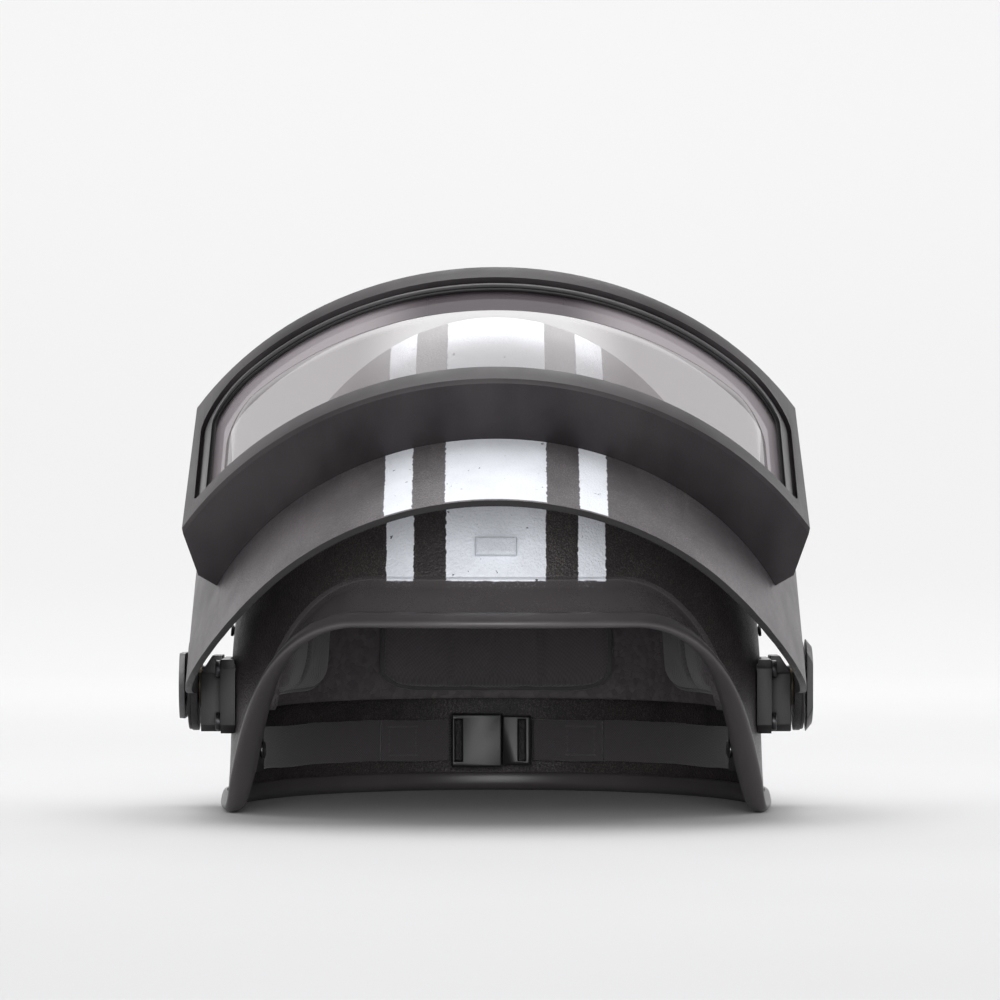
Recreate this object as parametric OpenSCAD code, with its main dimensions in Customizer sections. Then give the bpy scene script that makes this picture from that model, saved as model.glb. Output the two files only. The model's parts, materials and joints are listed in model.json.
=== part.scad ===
// Service helmet with a hinged, windowed face visor, shown with the visor raised.
// Front is -Y, the wearer's left is +X, Z is up. Origin: middle of the outline, on the floor.

/* [Shell] */
// Half the outer width of the shell
shell_half_w = 123; // [112:1:130]
// Reach of the dome in front of its middle
front_reach = 143; // [134:1:146]
// Reach of the dome behind its middle
rear_reach = 147; // [130:1:165]
// Distance of the dome's middle behind the hinge axis
dome_back = 6; // [2:1:20]
// Height of the crown above the floor
crown_z = 228; // [208:1:232]
// Height at which the side walls turn into the dome
wall_top_z = 58; // [50:1:70]
// Wall thickness
shell_wall = 4; // [3:0.5:5]
// How far the lower edge stands out beyond the wall
toe_out = 2; // [0:0.5:4]

/* [Face opening] */
// Height of the shell's edge at the brow
brow_z = 90; // [84:1:96]
// Angle from the front at which the brow edge starts to fall
brow_turn = 27; // [22:1:32]
// Angle from the front at which it reaches the lower edge
jaw_turn = 68; // [62:1:74]
// How far the brow flares out at its edge
brow_flare = 11; // [4:0.5:14]
// Height of the flare above the edge
flare_h = 19; // [12:1:26]

/* [Edge trim] */
// Half thickness of the trim beyond each face of the shell
trim_lap = 3; // [2:0.5:4]
// Depth of the trim below the shell's edge
trim_nose = 4; // [3:0.5:5]
// Height of the trim's cheeks above the shell's edge
trim_grip = 5; // [4:0.5:7]

/* [Brow block] */
// Width of the raised block on the forehead
block_w = 18.5; // [12:0.5:26]
// Height of the block
block_h = 8.5; // [6:0.5:14]
// Thickness of the block
block_t = 3.5; // [2:0.5:6]
// Height of the block's middle above the floor
block_z = 122; // [118:1:128]

/* [Hinge] */
// Height of the hinge axis above the floor
hinge_z = 57; // [55:1:62]
// Distance of the hinge axis behind the origin
hinge_y = 11.7; // [0:0.1:25]
// Angle by which the visor is raised from closed
raised_deg = 60; // [56:1:62]
// Radius of the pivot pins
pin_r = 4; // [3:0.25:5]
// Radius of the boss at the end of each visor arm
boss_r = 21; // [19:0.5:23]
// Radius of the visor stop peg
peg_r = 2.2; // [1.5:0.1:2.6]
// Distance of the stop peg from the hinge axis
peg_reach = 14; // [12.5:0.5:15]
// Length of a clamp knob
knob_l = 43; // [38:1:48]
// Width of a clamp knob
knob_w = 30; // [26:1:34]
// Thickness of a clamp knob
knob_t = 2.9; // [2:0.1:5]

/* [Visor plate] */
// Room between the side of the shell and the outer face of a visor arm
arm_room = 18; // [16:0.5:20]
// Gap between the raised plate and the dome where they come closest
crown_gap = 0.47; // [0.4:0.01:3]
// Thickness of the plate
plate_t = 3; // [2:0.25:3.5]
// Depth of the chin edge below the hinge axis, visor closed
chin_drop = 114; // [106:1:118]
// Distance in front of the hinge at which the chin edge turns up
cheek_turn = 118; // [112:1:130]
// Distance in front of the hinge at which an arm's upper edge meets the frame's top
arm_run = 88; // [80:1:96]

/* [Window frame] */
// How far the frame stands out from the plate at its sides
frame_stand = 25.5; // [24:0.5:27]
// How much further it stands out in front
frame_lead = 4; // [3:0.5:6]
// Bottom of the frame below the hinge axis, visor closed
frame_drop = 60; // [54:1:64]
// Top of the frame above the hinge axis, visor closed
frame_rise = 47; // [44:1:50]
// Height of the lower bar
bar_low = 12.4; // [9:0.2:15]
// Height of the upper bar
bar_top = 12.3; // [9:0.2:15]
// Distance of the frame's side corners inside the plate's outer side
frame_inset = 1.3; // [0:0.1:3]
// Width of the side bars
bar_side = 9.2; // [8.7:0.1:15]
// Corner radius of the window's upper corners
window_round = 18; // [10:1:24]
// Width of the front step at the sides of the window
step_side = 4.2; // [3:0.1:4.6]
// Width of the front step above the window
step_top = 2.4; // [2:0.1:4]

/* [Window] */
// Depth of the frame's front step
step_d = 1.9; // [1.5:0.1:4]
// Width of the groove between the step's wall and the retaining bezel
groove_w = 1.9; // [1:0.1:2]
// How far the retaining bezel reaches over the pane
bezel_w = 1; // [0.6:0.1:3]
// Thickness of the bezel
bezel_t = 1.5; // [1:0.1:3]
// Thickness of the gasket between the bezel and the pane
gasket_t = 0.9; // [0.6:0.1:2]
// Thickness of the pane
pane_t = 8; // [5:0.5:10]
// Width of the flange that the pane rests on from behind, at its sides and below
flange_w = 8; // [5:0.5:9]
// Width and thickness of the lip behind the pane's top
top_lip = 2; // [1:0.5:4]

/* [Liner] */
// Air gap between the shell and the liner bowl
liner_gap = 5.5; // [5.2:0.1:7]
// Thickness of the liner bowl
liner_t = 9; // [6:1:12]
// Thickness of the comfort pads
pad_t = 14; // [10:1:18]
// How far the crown pad reaches down from the crown
crown_pad_h = 40; // [30:1:50]
// Height of the brow pad
brow_pad_h = 30; // [24:1:36]
// Height of the nape pad
nape_pad_h = 50; // [40:1:56]
// Height of the side pads
side_pad_h = 52; // [40:1:56]
// Height of the liner's lower edge at the sides and back
liner_low_z = 46; // [44:1:54]
// Height of the liner's edge at the brow
liner_brow_z = 112; // [108:1:116]
// Width of the chin strap webbing
strap_w = 20; // [15:1:22]
// Thickness of the webbing
strap_t = 1.8; // [1:0.2:2.5]

/* [Hidden] */

fit_gap = 0.05;
body_gap = 0.3;
eps = 0.01;
// How far a cutter reaches past what it cuts
past = 30;
dome_h = crown_z - wall_top_z;
dome_arc = dome_h * PI / 2;
dome_y = hinge_y + dome_back;

// Reach of the dome from the hinge axis in a direction turned up from the front
function dome_reach(up) = norm([front_reach * cos(up), dome_h * sin(up)])
    - dome_back * cos(up) + (wall_top_z - hinge_z) * sin(up);

// The raised plate just clears the dome, and the frame stands out from the plate
plate_r = shell_half_w + arm_room;
plate_front = dome_reach(raised_deg) + crown_gap + plate_t;
plate_fwd = plate_front - plate_r;
frame_r = plate_r + frame_stand;
frame_fwd = plate_fwd + frame_lead;
frame_h = frame_rise + frame_drop;
frame_half_w = plate_r - frame_inset;
window_half_w = frame_half_w - bar_side;

// Largest of two numbers, rounded over a width k where they meet
function blend_max(a, b, k) =
    let(h = max(k - abs(a - b), 0) / k) max(a, b) + h * h * k / 4;

// Angle from the front folded to 0..180, and the height of an edge there: level at the brow,
// falling by a power curve to a level lower edge
function folded(phi) = abs(phi > 180 ? phi - 360 : phi);
edge_blend = 14;
function edge_z(phi, brow, low, turn, jaw) =
    let(t = max((folded(phi) - turn) / (jaw - turn), 0))
    blend_max(low + (brow - low) * (1 - pow(t, 2.2)), low, edge_blend);
function rim_z(phi) = edge_z(phi, brow_z, trim_nose, brow_turn, jaw_turn);
function liner_z(phi) = edge_z(phi, liner_brow_z, liner_low_z, brow_turn + 8, jaw_turn + 6);

// Arc height along the dome for a height above the floor
function arc_of(z) =
    z <= wall_top_z ? z - wall_top_z : asin(min((z - wall_top_z) / dome_h, 1)) / 90 * dome_arc;

// Share of the brow's shape at an angle: whole in front, none behind the jaw
function brow_share(phi) =
    let(side = min(max((folded(phi) - 40) / 50, 0), 1)) 1 - side * side * (3 - 2 * side);

// The flare grows towards the edge and fades from the brow to the jaw
function flare(phi, up) =
    brow_flare * brow_share(phi) * pow(min(max(1 - up / flare_h, 0), 1.5), 1.7);

// A point of the shell: angle from the front, arc height, depth inward from the outer face
function skin(phi, w, o) =
    let(b = cos(phi) > 0 ? front_reach : rear_reach,
        turn = max(w, 0) / dome_arc * 90,
        z = w <= 0 ? wall_top_z + w : wall_top_z + (dome_h - o) * sin(turn),
        toe = w <= 0 ? toe_out * pow(w / wall_top_z, 2) : 0,
        out = toe - o + flare(phi, z - rim_z(phi)),
        g = cos(turn))
    [(shell_half_w + out) * g * sin(phi), dome_y - (b + out) * g * cos(phi), z];

// Triangles between two neighbouring rows of a grid whose columns close on themselves
function ring_faces(row_a, row_b, m) =
    [for (j = [0:m - 1]) let(k = (j + 1) % m)
        each [[row_a + j, row_b + j, row_b + k], [row_a + j, row_b + k, row_a + k]]];
function flip(faces) = [for (f = faces) [f[2], f[1], f[0]]];

// Bowl between two depths, open below along an edge curve, closed over the crown. Its n rows
// lie closer towards the edge, the more so the larger ease is.
module bowl(outer, inner, low_z, m, n, ease) {
    rise = [for (i = [0:n - 1]) pow(i / n, ease)];
    grid = [for (o = [outer, inner]) each [for (t = rise) each [for (j = [0:m - 1])
        let(phi = 360 * j / m, w0 = arc_of(low_z(phi)))
        skin(phi, w0 + (dome_arc - w0) * t, o)]]];
    top = [for (o = [outer, inner]) skin(0, dome_arc, o)];
    count = m * n;
    outer_faces = [for (i = [0:n - 2]) each ring_faces(i * m, (i + 1) * m, m)];
    inner_faces = [for (i = [0:n - 2]) each ring_faces(count + i * m, count + (i + 1) * m, m)];
    caps = [for (s = [0, 1]) let(base = s * count + (n - 1) * m, tip = 2 * count + s)
        each [for (j = [0:m - 1]) let(k = (j + 1) % m)
            s == 0 ? [base + j, tip, base + k] : [base + k, tip, base + j]]];
    polyhedron(concat(grid, top),
        concat(outer_faces, flip(inner_faces), caps, flip(ring_faces(0, count, m))));
}

// Pad lying on the inside of a bowl: depth is flat behind and crowned in front
module pad(phi_a, phi_b, z_a, z_b, back, thick, crown, m, n) {
    across = n + 1;
    loop = 2 * across;
    function swell(u, v) = thick * (1 - crown + crown * (1 - pow(u, 4)) * (1 - pow(v, 4)));
    pts = [for (j = [0:m]) let(phi = phi_a + (phi_b - phi_a) * j / m, u = abs(2 * j / m - 1))
        each concat(
            [for (i = [0:n]) skin(phi, arc_of(z_a + (z_b - z_a) * i / n), back)],
            [for (i = [n:-1:0]) let(v = abs(2 * i / n - 1))
                skin(phi, arc_of(z_a + (z_b - z_a) * i / n), back + swell(u, v))])];
    walls = [for (j = [0:m - 1]) each ring_faces((j + 1) * loop, j * loop, loop)];
    ends = [for (e = [0, 1]) let(base = e * m * loop) each [for (i = [0:n - 1])
        let(a = base + i, b = base + i + 1, c = base + loop - 2 - i, d = base + loop - 1 - i)
        each (e == 0 ? [[a, c, b], [a, d, c]] : [[a, b, c], [a, c, d]])]];
    polyhedron(pts, concat(walls, ends));
}

// Edge direction at an angle, and a point of the trim's section: s steps across the edge line
// (positive up into the shell), o inward through the wall. At the leaning brow the steps shrink.
brow_hug = 0.28;
function rim_mid(phi) = skin(phi, arc_of(rim_z(phi)), shell_wall / 2);
function trim_pt(phi, s, o) =
    let(step = 0.5, ahead = rim_mid(phi + step) - rim_mid(phi - step),
        run = norm([ahead[0], ahead[1]]), len = norm(ahead),
        turn = -s * ahead[2] / len * (2 * step) / run,
        lift = s * run / len * (1 - brow_hug * brow_share(phi)))
    skin(phi + turn, arc_of(rim_z(phi)) + lift, o);

trim_gap = 0.35;
module pushed_trim(m) {
    low = -trim_nose + eps;
    cheek = trim_lap * 0.7;
    section = [[trim_grip, -cheek], [0, -trim_lap], [low * 0.6, -trim_lap * 0.6],
        [low, shell_wall / 2 - 1], [low, shell_wall / 2 + 1],
        [low * 0.6, shell_wall + trim_lap * 0.6], [0, shell_wall + trim_lap],
        [trim_grip, shell_wall + cheek], [trim_grip, shell_wall + trim_gap],
        [-trim_gap, shell_wall + trim_gap], [-trim_gap, -trim_gap], [trim_grip, -trim_gap]];
    n = len(section);
    pts = [for (j = [0:m - 1]) each [for (p = section) trim_pt(360 * j / m, p[0], p[1])]];
    polyhedron(pts, [for (j = [0:m - 1]) each ring_faces(((j + 1) % m) * n, j * n, n)]);
}

// Places a child that points outward along +X on the right or left side, at the hinge
module at_hinge(side) {
    translate([0, hinge_y, hinge_z])
    mirror([side < 0 ? 1 : 0, 0, 0])
    children();
}

module tube_x(r, x0, x1) {
    translate([x0, 0, 0])
    rotate([0, 90, 0])
    cylinder(r = r, h = x1 - x0, $fn = 64);
}

// Stations along the hinge axis, from the shell outward
base_low = 21.5;
side_x = shell_half_w + toe_out * pow((wall_top_z - hinge_z + base_low) / wall_top_z, 2) + body_gap;
base_t = 3.2;
base_x = side_x + base_t;
arm_in = plate_r - plate_t;
washer_t = 1.2;
washer_in = arm_in - body_gap - washer_t;
block_x = washer_in - 0.05;
hinge_plate_t = 1.5;
plate_x = plate_r + hinge_plate_t;
outer_washer_t = 0.6;
washer_out = plate_x + body_gap;
knob_x = washer_out + outer_washer_t + body_gap;
tip_x = knob_x + knob_t + 0.4;

module shell() {
    color([0.16, 0.16, 0.17])
    difference() {
        bowl(0, shell_wall, function(phi) rim_z(phi), 96, 18, 1.5);
        for (side = [-1, 1]) at_hinge(side)
            screw_holes(screw_r + 0.2, shell_half_w - past, shell_half_w + past);
        for (side = [-1, 1]) at_anchor(side) tube_x(rivet_r + fit_gap, -past, past);
        liner_spots() tube_x(spot_r + 0.4, -past, past);
    }
}

module edge_trim() {
    color([0.2, 0.2, 0.21])
    pushed_trim(120);
}

block_lean = atan(front_reach / dome_h * (block_z - wall_top_z) / dome_h
    / sqrt(1 - pow((block_z - wall_top_z) / dome_h, 2)));
block_y = dome_y - front_reach * sqrt(1 - pow((block_z - wall_top_z) / dome_h, 2));
module brow_block() {
    bevel = 1.2;
    color([0.86, 0.87, 0.9])
    translate([0, block_y, block_z])
    rotate([-block_lean, 0, 0])
    translate([0, -0.25, 0])
    rotate([90, 0, 0])
    difference() {
        translate([-block_w / 2, -block_h / 2, 0])
        cube([block_w, block_h, block_t]);
        for (s = [-1, 1]) {
            translate([s * block_w / 2, 0, block_t])
            rotate([0, 45, 0])
            cube([bevel, block_h + 1, bevel], center = true);
            translate([0, s * block_h / 2, block_t])
            rotate([45, 0, 0])
            cube([block_w + 1, bevel, bevel], center = true);
        }
    }
}

// Liner
liner_out = shell_wall + liner_gap;
liner_in = liner_out + liner_t;
pad_gap = 0.8;
pad_back = liner_in + pad_gap;
module liner_bowl() {
    color([0.13, 0.13, 0.14])
    bowl(liner_out, liner_in, function(phi) liner_z(phi), 60, 13, 1.25);
}

// A frame on the shell's outer face at an angle and height, with +X straight out
module on_skin(phi, z) {
    p = skin(phi, arc_of(z), 0);
    b = cos(phi) > 0 ? front_reach : rear_reach;
    out = [p[0] / pow(shell_half_w, 2), (p[1] - dome_y) / pow(b, 2),
        max(z - wall_top_z, 0) / pow(dome_h, 2)];
    translate(p)
    rotate([0, -atan2(out[2], norm([out[0], out[1]])), atan2(out[1], out[0])])
    children();
}

// Six places where a spacer and its screw carry the liner: angle and height
spot_high = liner_brow_z + 16;
spot_low = wall_top_z + 24;
spots = [[62, spot_high], [90, spot_low], [145, spot_high], [215, spot_high], [270, spot_low],
    [298, spot_high]];
module liner_spots() {
    for (spot = spots) on_skin(spot[0], spot[1]) children();
}

spot_r = 1.8;
spacer_r = 5;
spacer_gap = 0.9;
spot_head_r = 2.6;
spot_head_t = 1.3;
module liner_spacers() {
    inner = -liner_out + 0.6;
    color([0.3, 0.3, 0.3])
    liner_spots() {
        tube_x(spot_r, inner, 0.5);
        tube_x(spacer_r, inner, -shell_wall - spacer_gap);
        tube_x(spot_head_r, 0.4, 0.4 + spot_head_t);
    }
}

module crown_pad() {
    color([0.15, 0.15, 0.16])
    bowl(pad_back, pad_back + pad_t, function(phi) crown_z - crown_pad_h, 40, 5, 1.25);
}

// Pads lie this far above the liner's edge, and swell by this share of their thickness
pad_edge = 4;
pad_crown = 0.55;
module brow_pad() {
    low = liner_brow_z + pad_edge;
    color([0.15, 0.15, 0.16])
    pad(-40, 40, low, low + brow_pad_h, pad_back, pad_t, pad_crown, 14, 6);
}

module nape_pad() {
    low = liner_low_z + pad_edge;
    color([0.15, 0.15, 0.16])
    pad(146, 214, low, low + nape_pad_h, pad_back, pad_t, pad_crown, 12, 6);
}

module side_pad() {
    low = liner_low_z + pad_edge + 2;
    color([0.15, 0.15, 0.16])
    pad(82, 126, low, low + side_pad_h, pad_back, pad_t, pad_crown, 10, 6);
}

// Chin strap, swung back inside the shell for storage, above the trim
strap_room = 6;
strap_z = trim_nose + trim_grip + strap_room + strap_w / 2;
anchor_phi = 104;
strap_tail = 6;
strap_depth = shell_wall + 0.35;
module strap(end_x) {
    end_phi = 180 - asin((end_x + body_gap) / (shell_half_w - strap_depth - strap_t));
    color([0.1, 0.1, 0.11])
    difference() {
        pad(anchor_phi - strap_tail, end_phi, strap_z - strap_w / 2, strap_z + strap_w / 2,
            strap_depth, strap_t, 0, 16, 2);
        at_anchor(1) tube_x(rivet_r + fit_gap, -past, past);
    }
}

rivet_r = 2;
rivet_head_r = 4;
rivet_head_t = 1.5;
module at_anchor(side) {
    mirror([side < 0 ? 1 : 0, 0, 0])
    on_skin(anchor_phi, strap_z)
    children();
}

// Anchor plate over the strap's end, its outer face this deep below the shell's
anchor_t = 1.8;
anchor_l = 14;
anchor_depth = shell_wall + strap_t + 1.6;
module strap_anchors() {
    color([0.35, 0.35, 0.36])
    for (side = [-1, 1]) at_anchor(side)
    difference() {
        translate([-anchor_depth - anchor_t, 5 - anchor_l, -strap_w / 2])
        cube([anchor_t, anchor_l, strap_w]);
        tube_x(rivet_r + fit_gap, -past, past);
    }
}

module anchor_rivets() {
    inner = -anchor_depth - anchor_t;
    color([0.5, 0.5, 0.52])
    for (side = [-1, 1]) at_anchor(side) {
        tube_x(rivet_r, inner - rivet_head_t, 1);
        tube_x(rivet_head_r, 0.9, 0.5 + rivet_head_t);
        tube_x(rivet_head_r, inner - 0.1 - rivet_head_t, inner - 0.1);
    }
}

// The buckle's two halves lie against the back wall, mated, between the ends of the straps
plug_end = 17;
socket_end = 22;
buckle_y = dome_y - body_gap - 3 + (rear_reach - shell_wall)
    * sqrt(1 - pow(socket_end / (shell_half_w - shell_wall), 2));
module buckle_plug() {
    color([0.08, 0.08, 0.09])
    translate([0, buckle_y, strap_z]) {
        translate([3, -4, -strap_w / 2 - 2])
        difference() {
            cube([plug_end - 3, 6, strap_w + 4]);
            translate([plug_end - 9, -1, 2])
            cube([3, 8, strap_w]);
        }
        for (s = [-1, 1])
            translate([-12, -2.5, s * 8 - 1.5])
            cube([15 + eps, 3, 3]);
    }
}

module buckle_socket() {
    color([0.08, 0.08, 0.09])
    translate([0, buckle_y, strap_z])
    difference() {
        translate([-socket_end, -5, -strap_w / 2 - 3])
        cube([socket_end + 2.7, 8, strap_w + 6]);
        translate([-13, -3.2, -strap_w / 2 - 0.5])
        cube([17, 4.4, strap_w + 1]);
        translate([2 - socket_end, -6, -strap_w / 2])
        cube([3, 10, strap_w]);
    }
}

// Hinge, fixed side
screw_r = 2.4;
screw_y = 23;
screw_high = 8;
screw_low = -16;
screw_spots = [for (z = [screw_high, screw_low]) for (y = [-screw_y, screw_y]) [y, z]];
module screw_holes(r, x0, x1) {
    for (s = screw_spots)
        translate([0, s[0], s[1]])
        tube_x(r, x0, x1);
}

// Base plate, hollowed behind to sit on the round of the shell
base_high = 12.5;
base_half_l = 29;
base_cut = 4;
saddle = 5;
saddle_r = pow(front_reach + rear_reach, 2) / (4 * shell_half_w);
// Outline with cut corners: half length, bottom, top, size of the upper and the lower cuts
module cut_plan(half, low, high, upper, lower) {
    polygon([[-half + lower, low], [half - lower, low], [half, low + lower],
        [half, high - upper], [half - upper, high], [-half + upper, high],
        [-half, high - upper], [-half, low + lower]]);
}

module base_plate(side) {
    color([0.22, 0.22, 0.23])
    at_hinge(side)
    difference() {
        translate([side_x - saddle, 0, 0])
        rotate([90, 0, 90])
        linear_extrude(base_t + saddle)
        cut_plan(base_half_l, -base_low, base_high, base_cut, base_cut);
        translate([side_x - saddle_r, dome_back, -base_low - 1])
        cylinder(r = saddle_r, h = base_low + base_high + 2, $fn = 180);
        screw_holes(screw_r + 0.2, side_x - saddle - 1, base_x + 1);
    }
}

// Block on the base plate, sloped above, with a pocket for the pin's head
block_half_l = 17;
block_top = 14;
block_cut = 8;
block_ease = 3;
block_slope = 32;
module hinge_block(side) {
    color([0.2, 0.2, 0.21])
    at_hinge(side)
    difference() {
        translate([base_x + eps, 0, 0])
        rotate([90, 0, 90])
        linear_extrude(block_x - base_x - eps)
        cut_plan(block_half_l, -boss_r, block_top, block_cut, block_ease);
        translate([block_x, -2 * block_half_l, block_top - block_cut])
        rotate([0, -block_slope, 0])
        cube([past, 4 * block_half_l, past]);
        tube_x(pin_r + 0.02, base_x, block_x + 1);
        tube_x(head_r + 0.1, base_x - 1, base_x + head_t + 0.1);
        tube_x_at(peg_place(), peg_r + 0.02, block_x - 6, block_x + 1);
    }
}

head_r = 7.5;
head_t = 3;
module tube_x_at(p, r, x0, x1) {
    translate([0, p[0], p[1]])
    tube_x(r, x0, x1);
}
// The peg sits straight behind the axis, turned up by half the visor's travel
peg_deg = 30;
function peg_place() = [peg_reach * cos(peg_deg), peg_reach * sin(peg_deg)];

module pivot_pin(side) {
    color([0.55, 0.55, 0.57])
    at_hinge(side) {
        tube_x(head_r, base_x + 0.05, base_x + head_t);
        tube_x(pin_r, base_x + 1, knob_x + knob_t - 0.4);
        tube_x(1.4, knob_x + knob_t - 1, tip_x);
    }
}

module stop_pegs() {
    color([0.55, 0.55, 0.57])
    for (side = [-1, 1]) at_hinge(side)
    tube_x_at(peg_place(), peg_r, block_x - 5.9, plate_r - 0.4);
}

module ring_x(r_out, r_in, x0, x1) {
    difference() {
        tube_x(r_out, x0, x1);
        tube_x(r_in, x0 - 1, x1 + 1);
    }
}

module inner_washers() {
    color([0.62, 0.55, 0.35])
    for (side = [-1, 1]) at_hinge(side)
    ring_x(10, pin_r + fit_gap, washer_in, washer_in + washer_t);
}

module outer_washers() {
    color([0.45, 0.45, 0.46])
    for (side = [-1, 1]) at_hinge(side)
    ring_x(9, pin_r + fit_gap, washer_out, washer_out + outer_washer_t);
}

// Where a nut meets the inside of the wall: the least width of the wall under the nut
nut_r = 4.2;
nut_t = 3.4;
function nut_seat(s) =
    let(off = s[0] - dome_back, b = (off < 0 ? front_reach : rear_reach) - shell_wall,
        up = max(hinge_z + s[1] + nut_r - wall_top_z, 0))
    (shell_half_w - shell_wall)
    * sqrt(1 - pow((abs(off) + nut_r) / b, 2) - pow(up / (dome_h - shell_wall), 2)) - 0.05;

module bracket_screws() {
    color([0.4, 0.4, 0.41])
    for (side = [-1, 1]) at_hinge(side)
    for (s = screw_spots)
        translate([0, s[0], s[1]]) {
            tube_x(screw_r, nut_seat(s) - nut_t - 0.4, base_x + 0.5);
            tube_x(nut_r, base_x + 0.05, base_x + 2.4);
        }
}

module bracket_nuts() {
    color([0.45, 0.45, 0.46])
    for (side = [-1, 1]) at_hinge(side)
    for (s = screw_spots)
        translate([0, s[0], s[1]])
        ring_x(nut_r, screw_r + 0.02, nut_seat(s) - nut_t, nut_seat(s));
}

// Clamp knob: a long nut with sloped ends, its length along Z before it is turned
module knob(side, turn) {
    color([0.24, 0.24, 0.25])
    at_hinge(side)
    rotate([turn, 0, 0])
    difference() {
        intersection() {
            translate([knob_x, 0, 0])
            rotate([0, 90, 0])
            cylinder(r1 = knob_l / 2, r2 = knob_l / 2 - 3.5, h = knob_t, $fn = 96);
            translate([knob_x - 1, -knob_w / 2, -knob_l / 2])
            cube([knob_t + 2, knob_w, knob_l]);
        }
        tube_x(pin_r + fit_gap, knob_x - 1, knob_x + knob_t + 1);
    }
}

// Visor, drawn closed about the hinge axis and then raised
module visor_pose() {
    translate([0, hinge_y, hinge_z])
    rotate([-raised_deg, 0, 0])
    children();
}

module upright(r, fwd, z0, z1) {
    translate([0, -fwd, z0])
    cylinder(r = r, h = z1 - z0, $fn = 180);
}

// Plan of the plate: half round in front, straight arms running on behind the bosses
module plate_solid(r, z0, z1) {
    upright(r, plate_fwd, z0, z1);
    translate([-r, -plate_fwd, z0])
    cube([2 * r, plate_fwd + 2 * boss_r, z1 - z0]);
}

// Side view of the plate: the chin edge is level in front, then rises by a square curve to the
// boss, which it meets a little in front of straight down
chin_end = boss_r * [sin(22), cos(22)];
function chin_u(f) = let(t = (cheek_turn - f) / (cheek_turn - chin_end[0]))
    -chin_drop + (chin_drop - chin_end[1]) * t * t;
module cheek_profile() {
    steps = 9;
    rotate([90, 0, 90])
    translate([0, 0, -2 * plate_r])
    linear_extrude(4 * plate_r) {
        circle(r = boss_r, $fn = 96);
        polygon(concat(
            [[-3, boss_r - 0.3], [-arm_run, frame_rise], [-2 * plate_front, frame_rise],
                [-2 * plate_front, -chin_drop]],
            [for (i = [0:steps]) let(f = cheek_turn + (chin_end[0] - cheek_turn) * i / steps)
                [-f, chin_u(f)]]));
    }
}

// Window outline seen from the front: lower corners small, upper corners round
module window_outline(half_w, lo, hi, round) {
    n = 8;
    small = 3;
    polygon(concat(
        [for (i = [0:n]) let(a = 90 * i / n)
            [half_w - round + round * cos(a), hi - round + round * sin(a)]],
        [for (i = [0:n]) let(a = 90 + 90 * i / n)
            [-half_w + round + round * cos(a), hi - round + round * sin(a)]],
        [for (i = [0:2]) let(a = 180 + 45 * i)
            [-half_w + small + small * cos(a), lo + small + small * sin(a)]],
        [for (i = [0:2]) let(a = 270 + 45 * i)
            [half_w - small + small * cos(a), lo + small + small * sin(a)]]));
}

window_lo = -frame_drop + bar_low;
window_hi = frame_rise - bar_top;
module window_prism(grow) {
    rotate([90, 0, 0])
    linear_extrude(2 * frame_r)
    window_outline(window_half_w + grow, window_lo - grow, window_hi + grow,
        max(window_round + grow, 2));
}

// The front step's outline, drawn in from its wall at the sides and top, raised below
module step_prism(inward, raise) {
    rotate([90, 0, 0])
    linear_extrude(2 * frame_r)
    window_outline(window_half_w + step_side - inward, window_lo + raise,
        window_hi + step_top - inward, window_round + step_top - inward);
}

// Clear way behind the pane: the flange is left at the sides and below, a slim lip above, and
// behind the lip the way is open to the top, so that the light falls in over the crown
module clear_way() {
    half_w = window_half_w - flange_w;
    rotate([90, 0, 0])
    linear_extrude(2 * frame_r)
    window_outline(half_w, window_lo + flange_w, window_hi - top_lip,
        max(window_round - flange_w, 2));
    intersection() {
        face_drum(pane_back + top_lip);
        translate([-half_w, -2 * frame_r, 0])
        cube([2 * half_w, 2 * frame_r, frame_rise + past]);
    }
}

module visor_plate() {
    color([0.36, 0.35, 0.36])
    visor_pose()
    difference() {
        intersection() {
            difference() {
                plate_solid(plate_r, -chin_drop - 5, frame_rise);
                plate_solid(plate_r - plate_t, -chin_drop - 6, frame_rise + 1);
            }
            cheek_profile();
        }
        clear_way();
        tube_x(pin_r + fit_gap, -2 * plate_r, 2 * plate_r);
        for (s = [-1, 1]) peg_slot(s);
        frame_screw_spots() frame_screw_hole();
    }
}

// Curved slot that the stop peg runs in: it reaches from the raised to the closed place
slot_end = 1.5;
module peg_slot(s) {
    swing = asin((peg_r + body_gap) / peg_reach);
    mirror([s < 0 ? 1 : 0, 0, 0])
    translate([plate_r - plate_t - 2, 0, 0])
    rotate([90, 0, 90])
    rotate([0, 0, peg_deg - swing - slot_end])
    linear_extrude(plate_t + 6)
    difference() {
        pie(peg_reach + peg_r + body_gap, raised_deg + 2 * (swing + slot_end));
        circle(r = peg_reach - peg_r - body_gap, $fn = 64);
    }
}

module pie(r, sweep) {
    n = 24;
    polygon(concat([[0, 0]], [for (i = [0:n]) r * [cos(sweep * i / n), sin(sweep * i / n)]]));
}

module hinge_plate(side) {
    color([0.3, 0.3, 0.31])
    visor_pose()
    mirror([side < 0 ? 1 : 0, 0, 0])
    difference() {
        tube_x(boss_r - 0.5, plate_r + eps, plate_x);
        tube_x(pin_r + fit_gap, plate_r - 1, plate_x + 1);
    }
}

// Face of the frame; depth is measured inward from it
module face_drum(depth) {
    upright(frame_r - depth, frame_fwd, -frame_drop - 5, frame_rise + 5);
}

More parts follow.
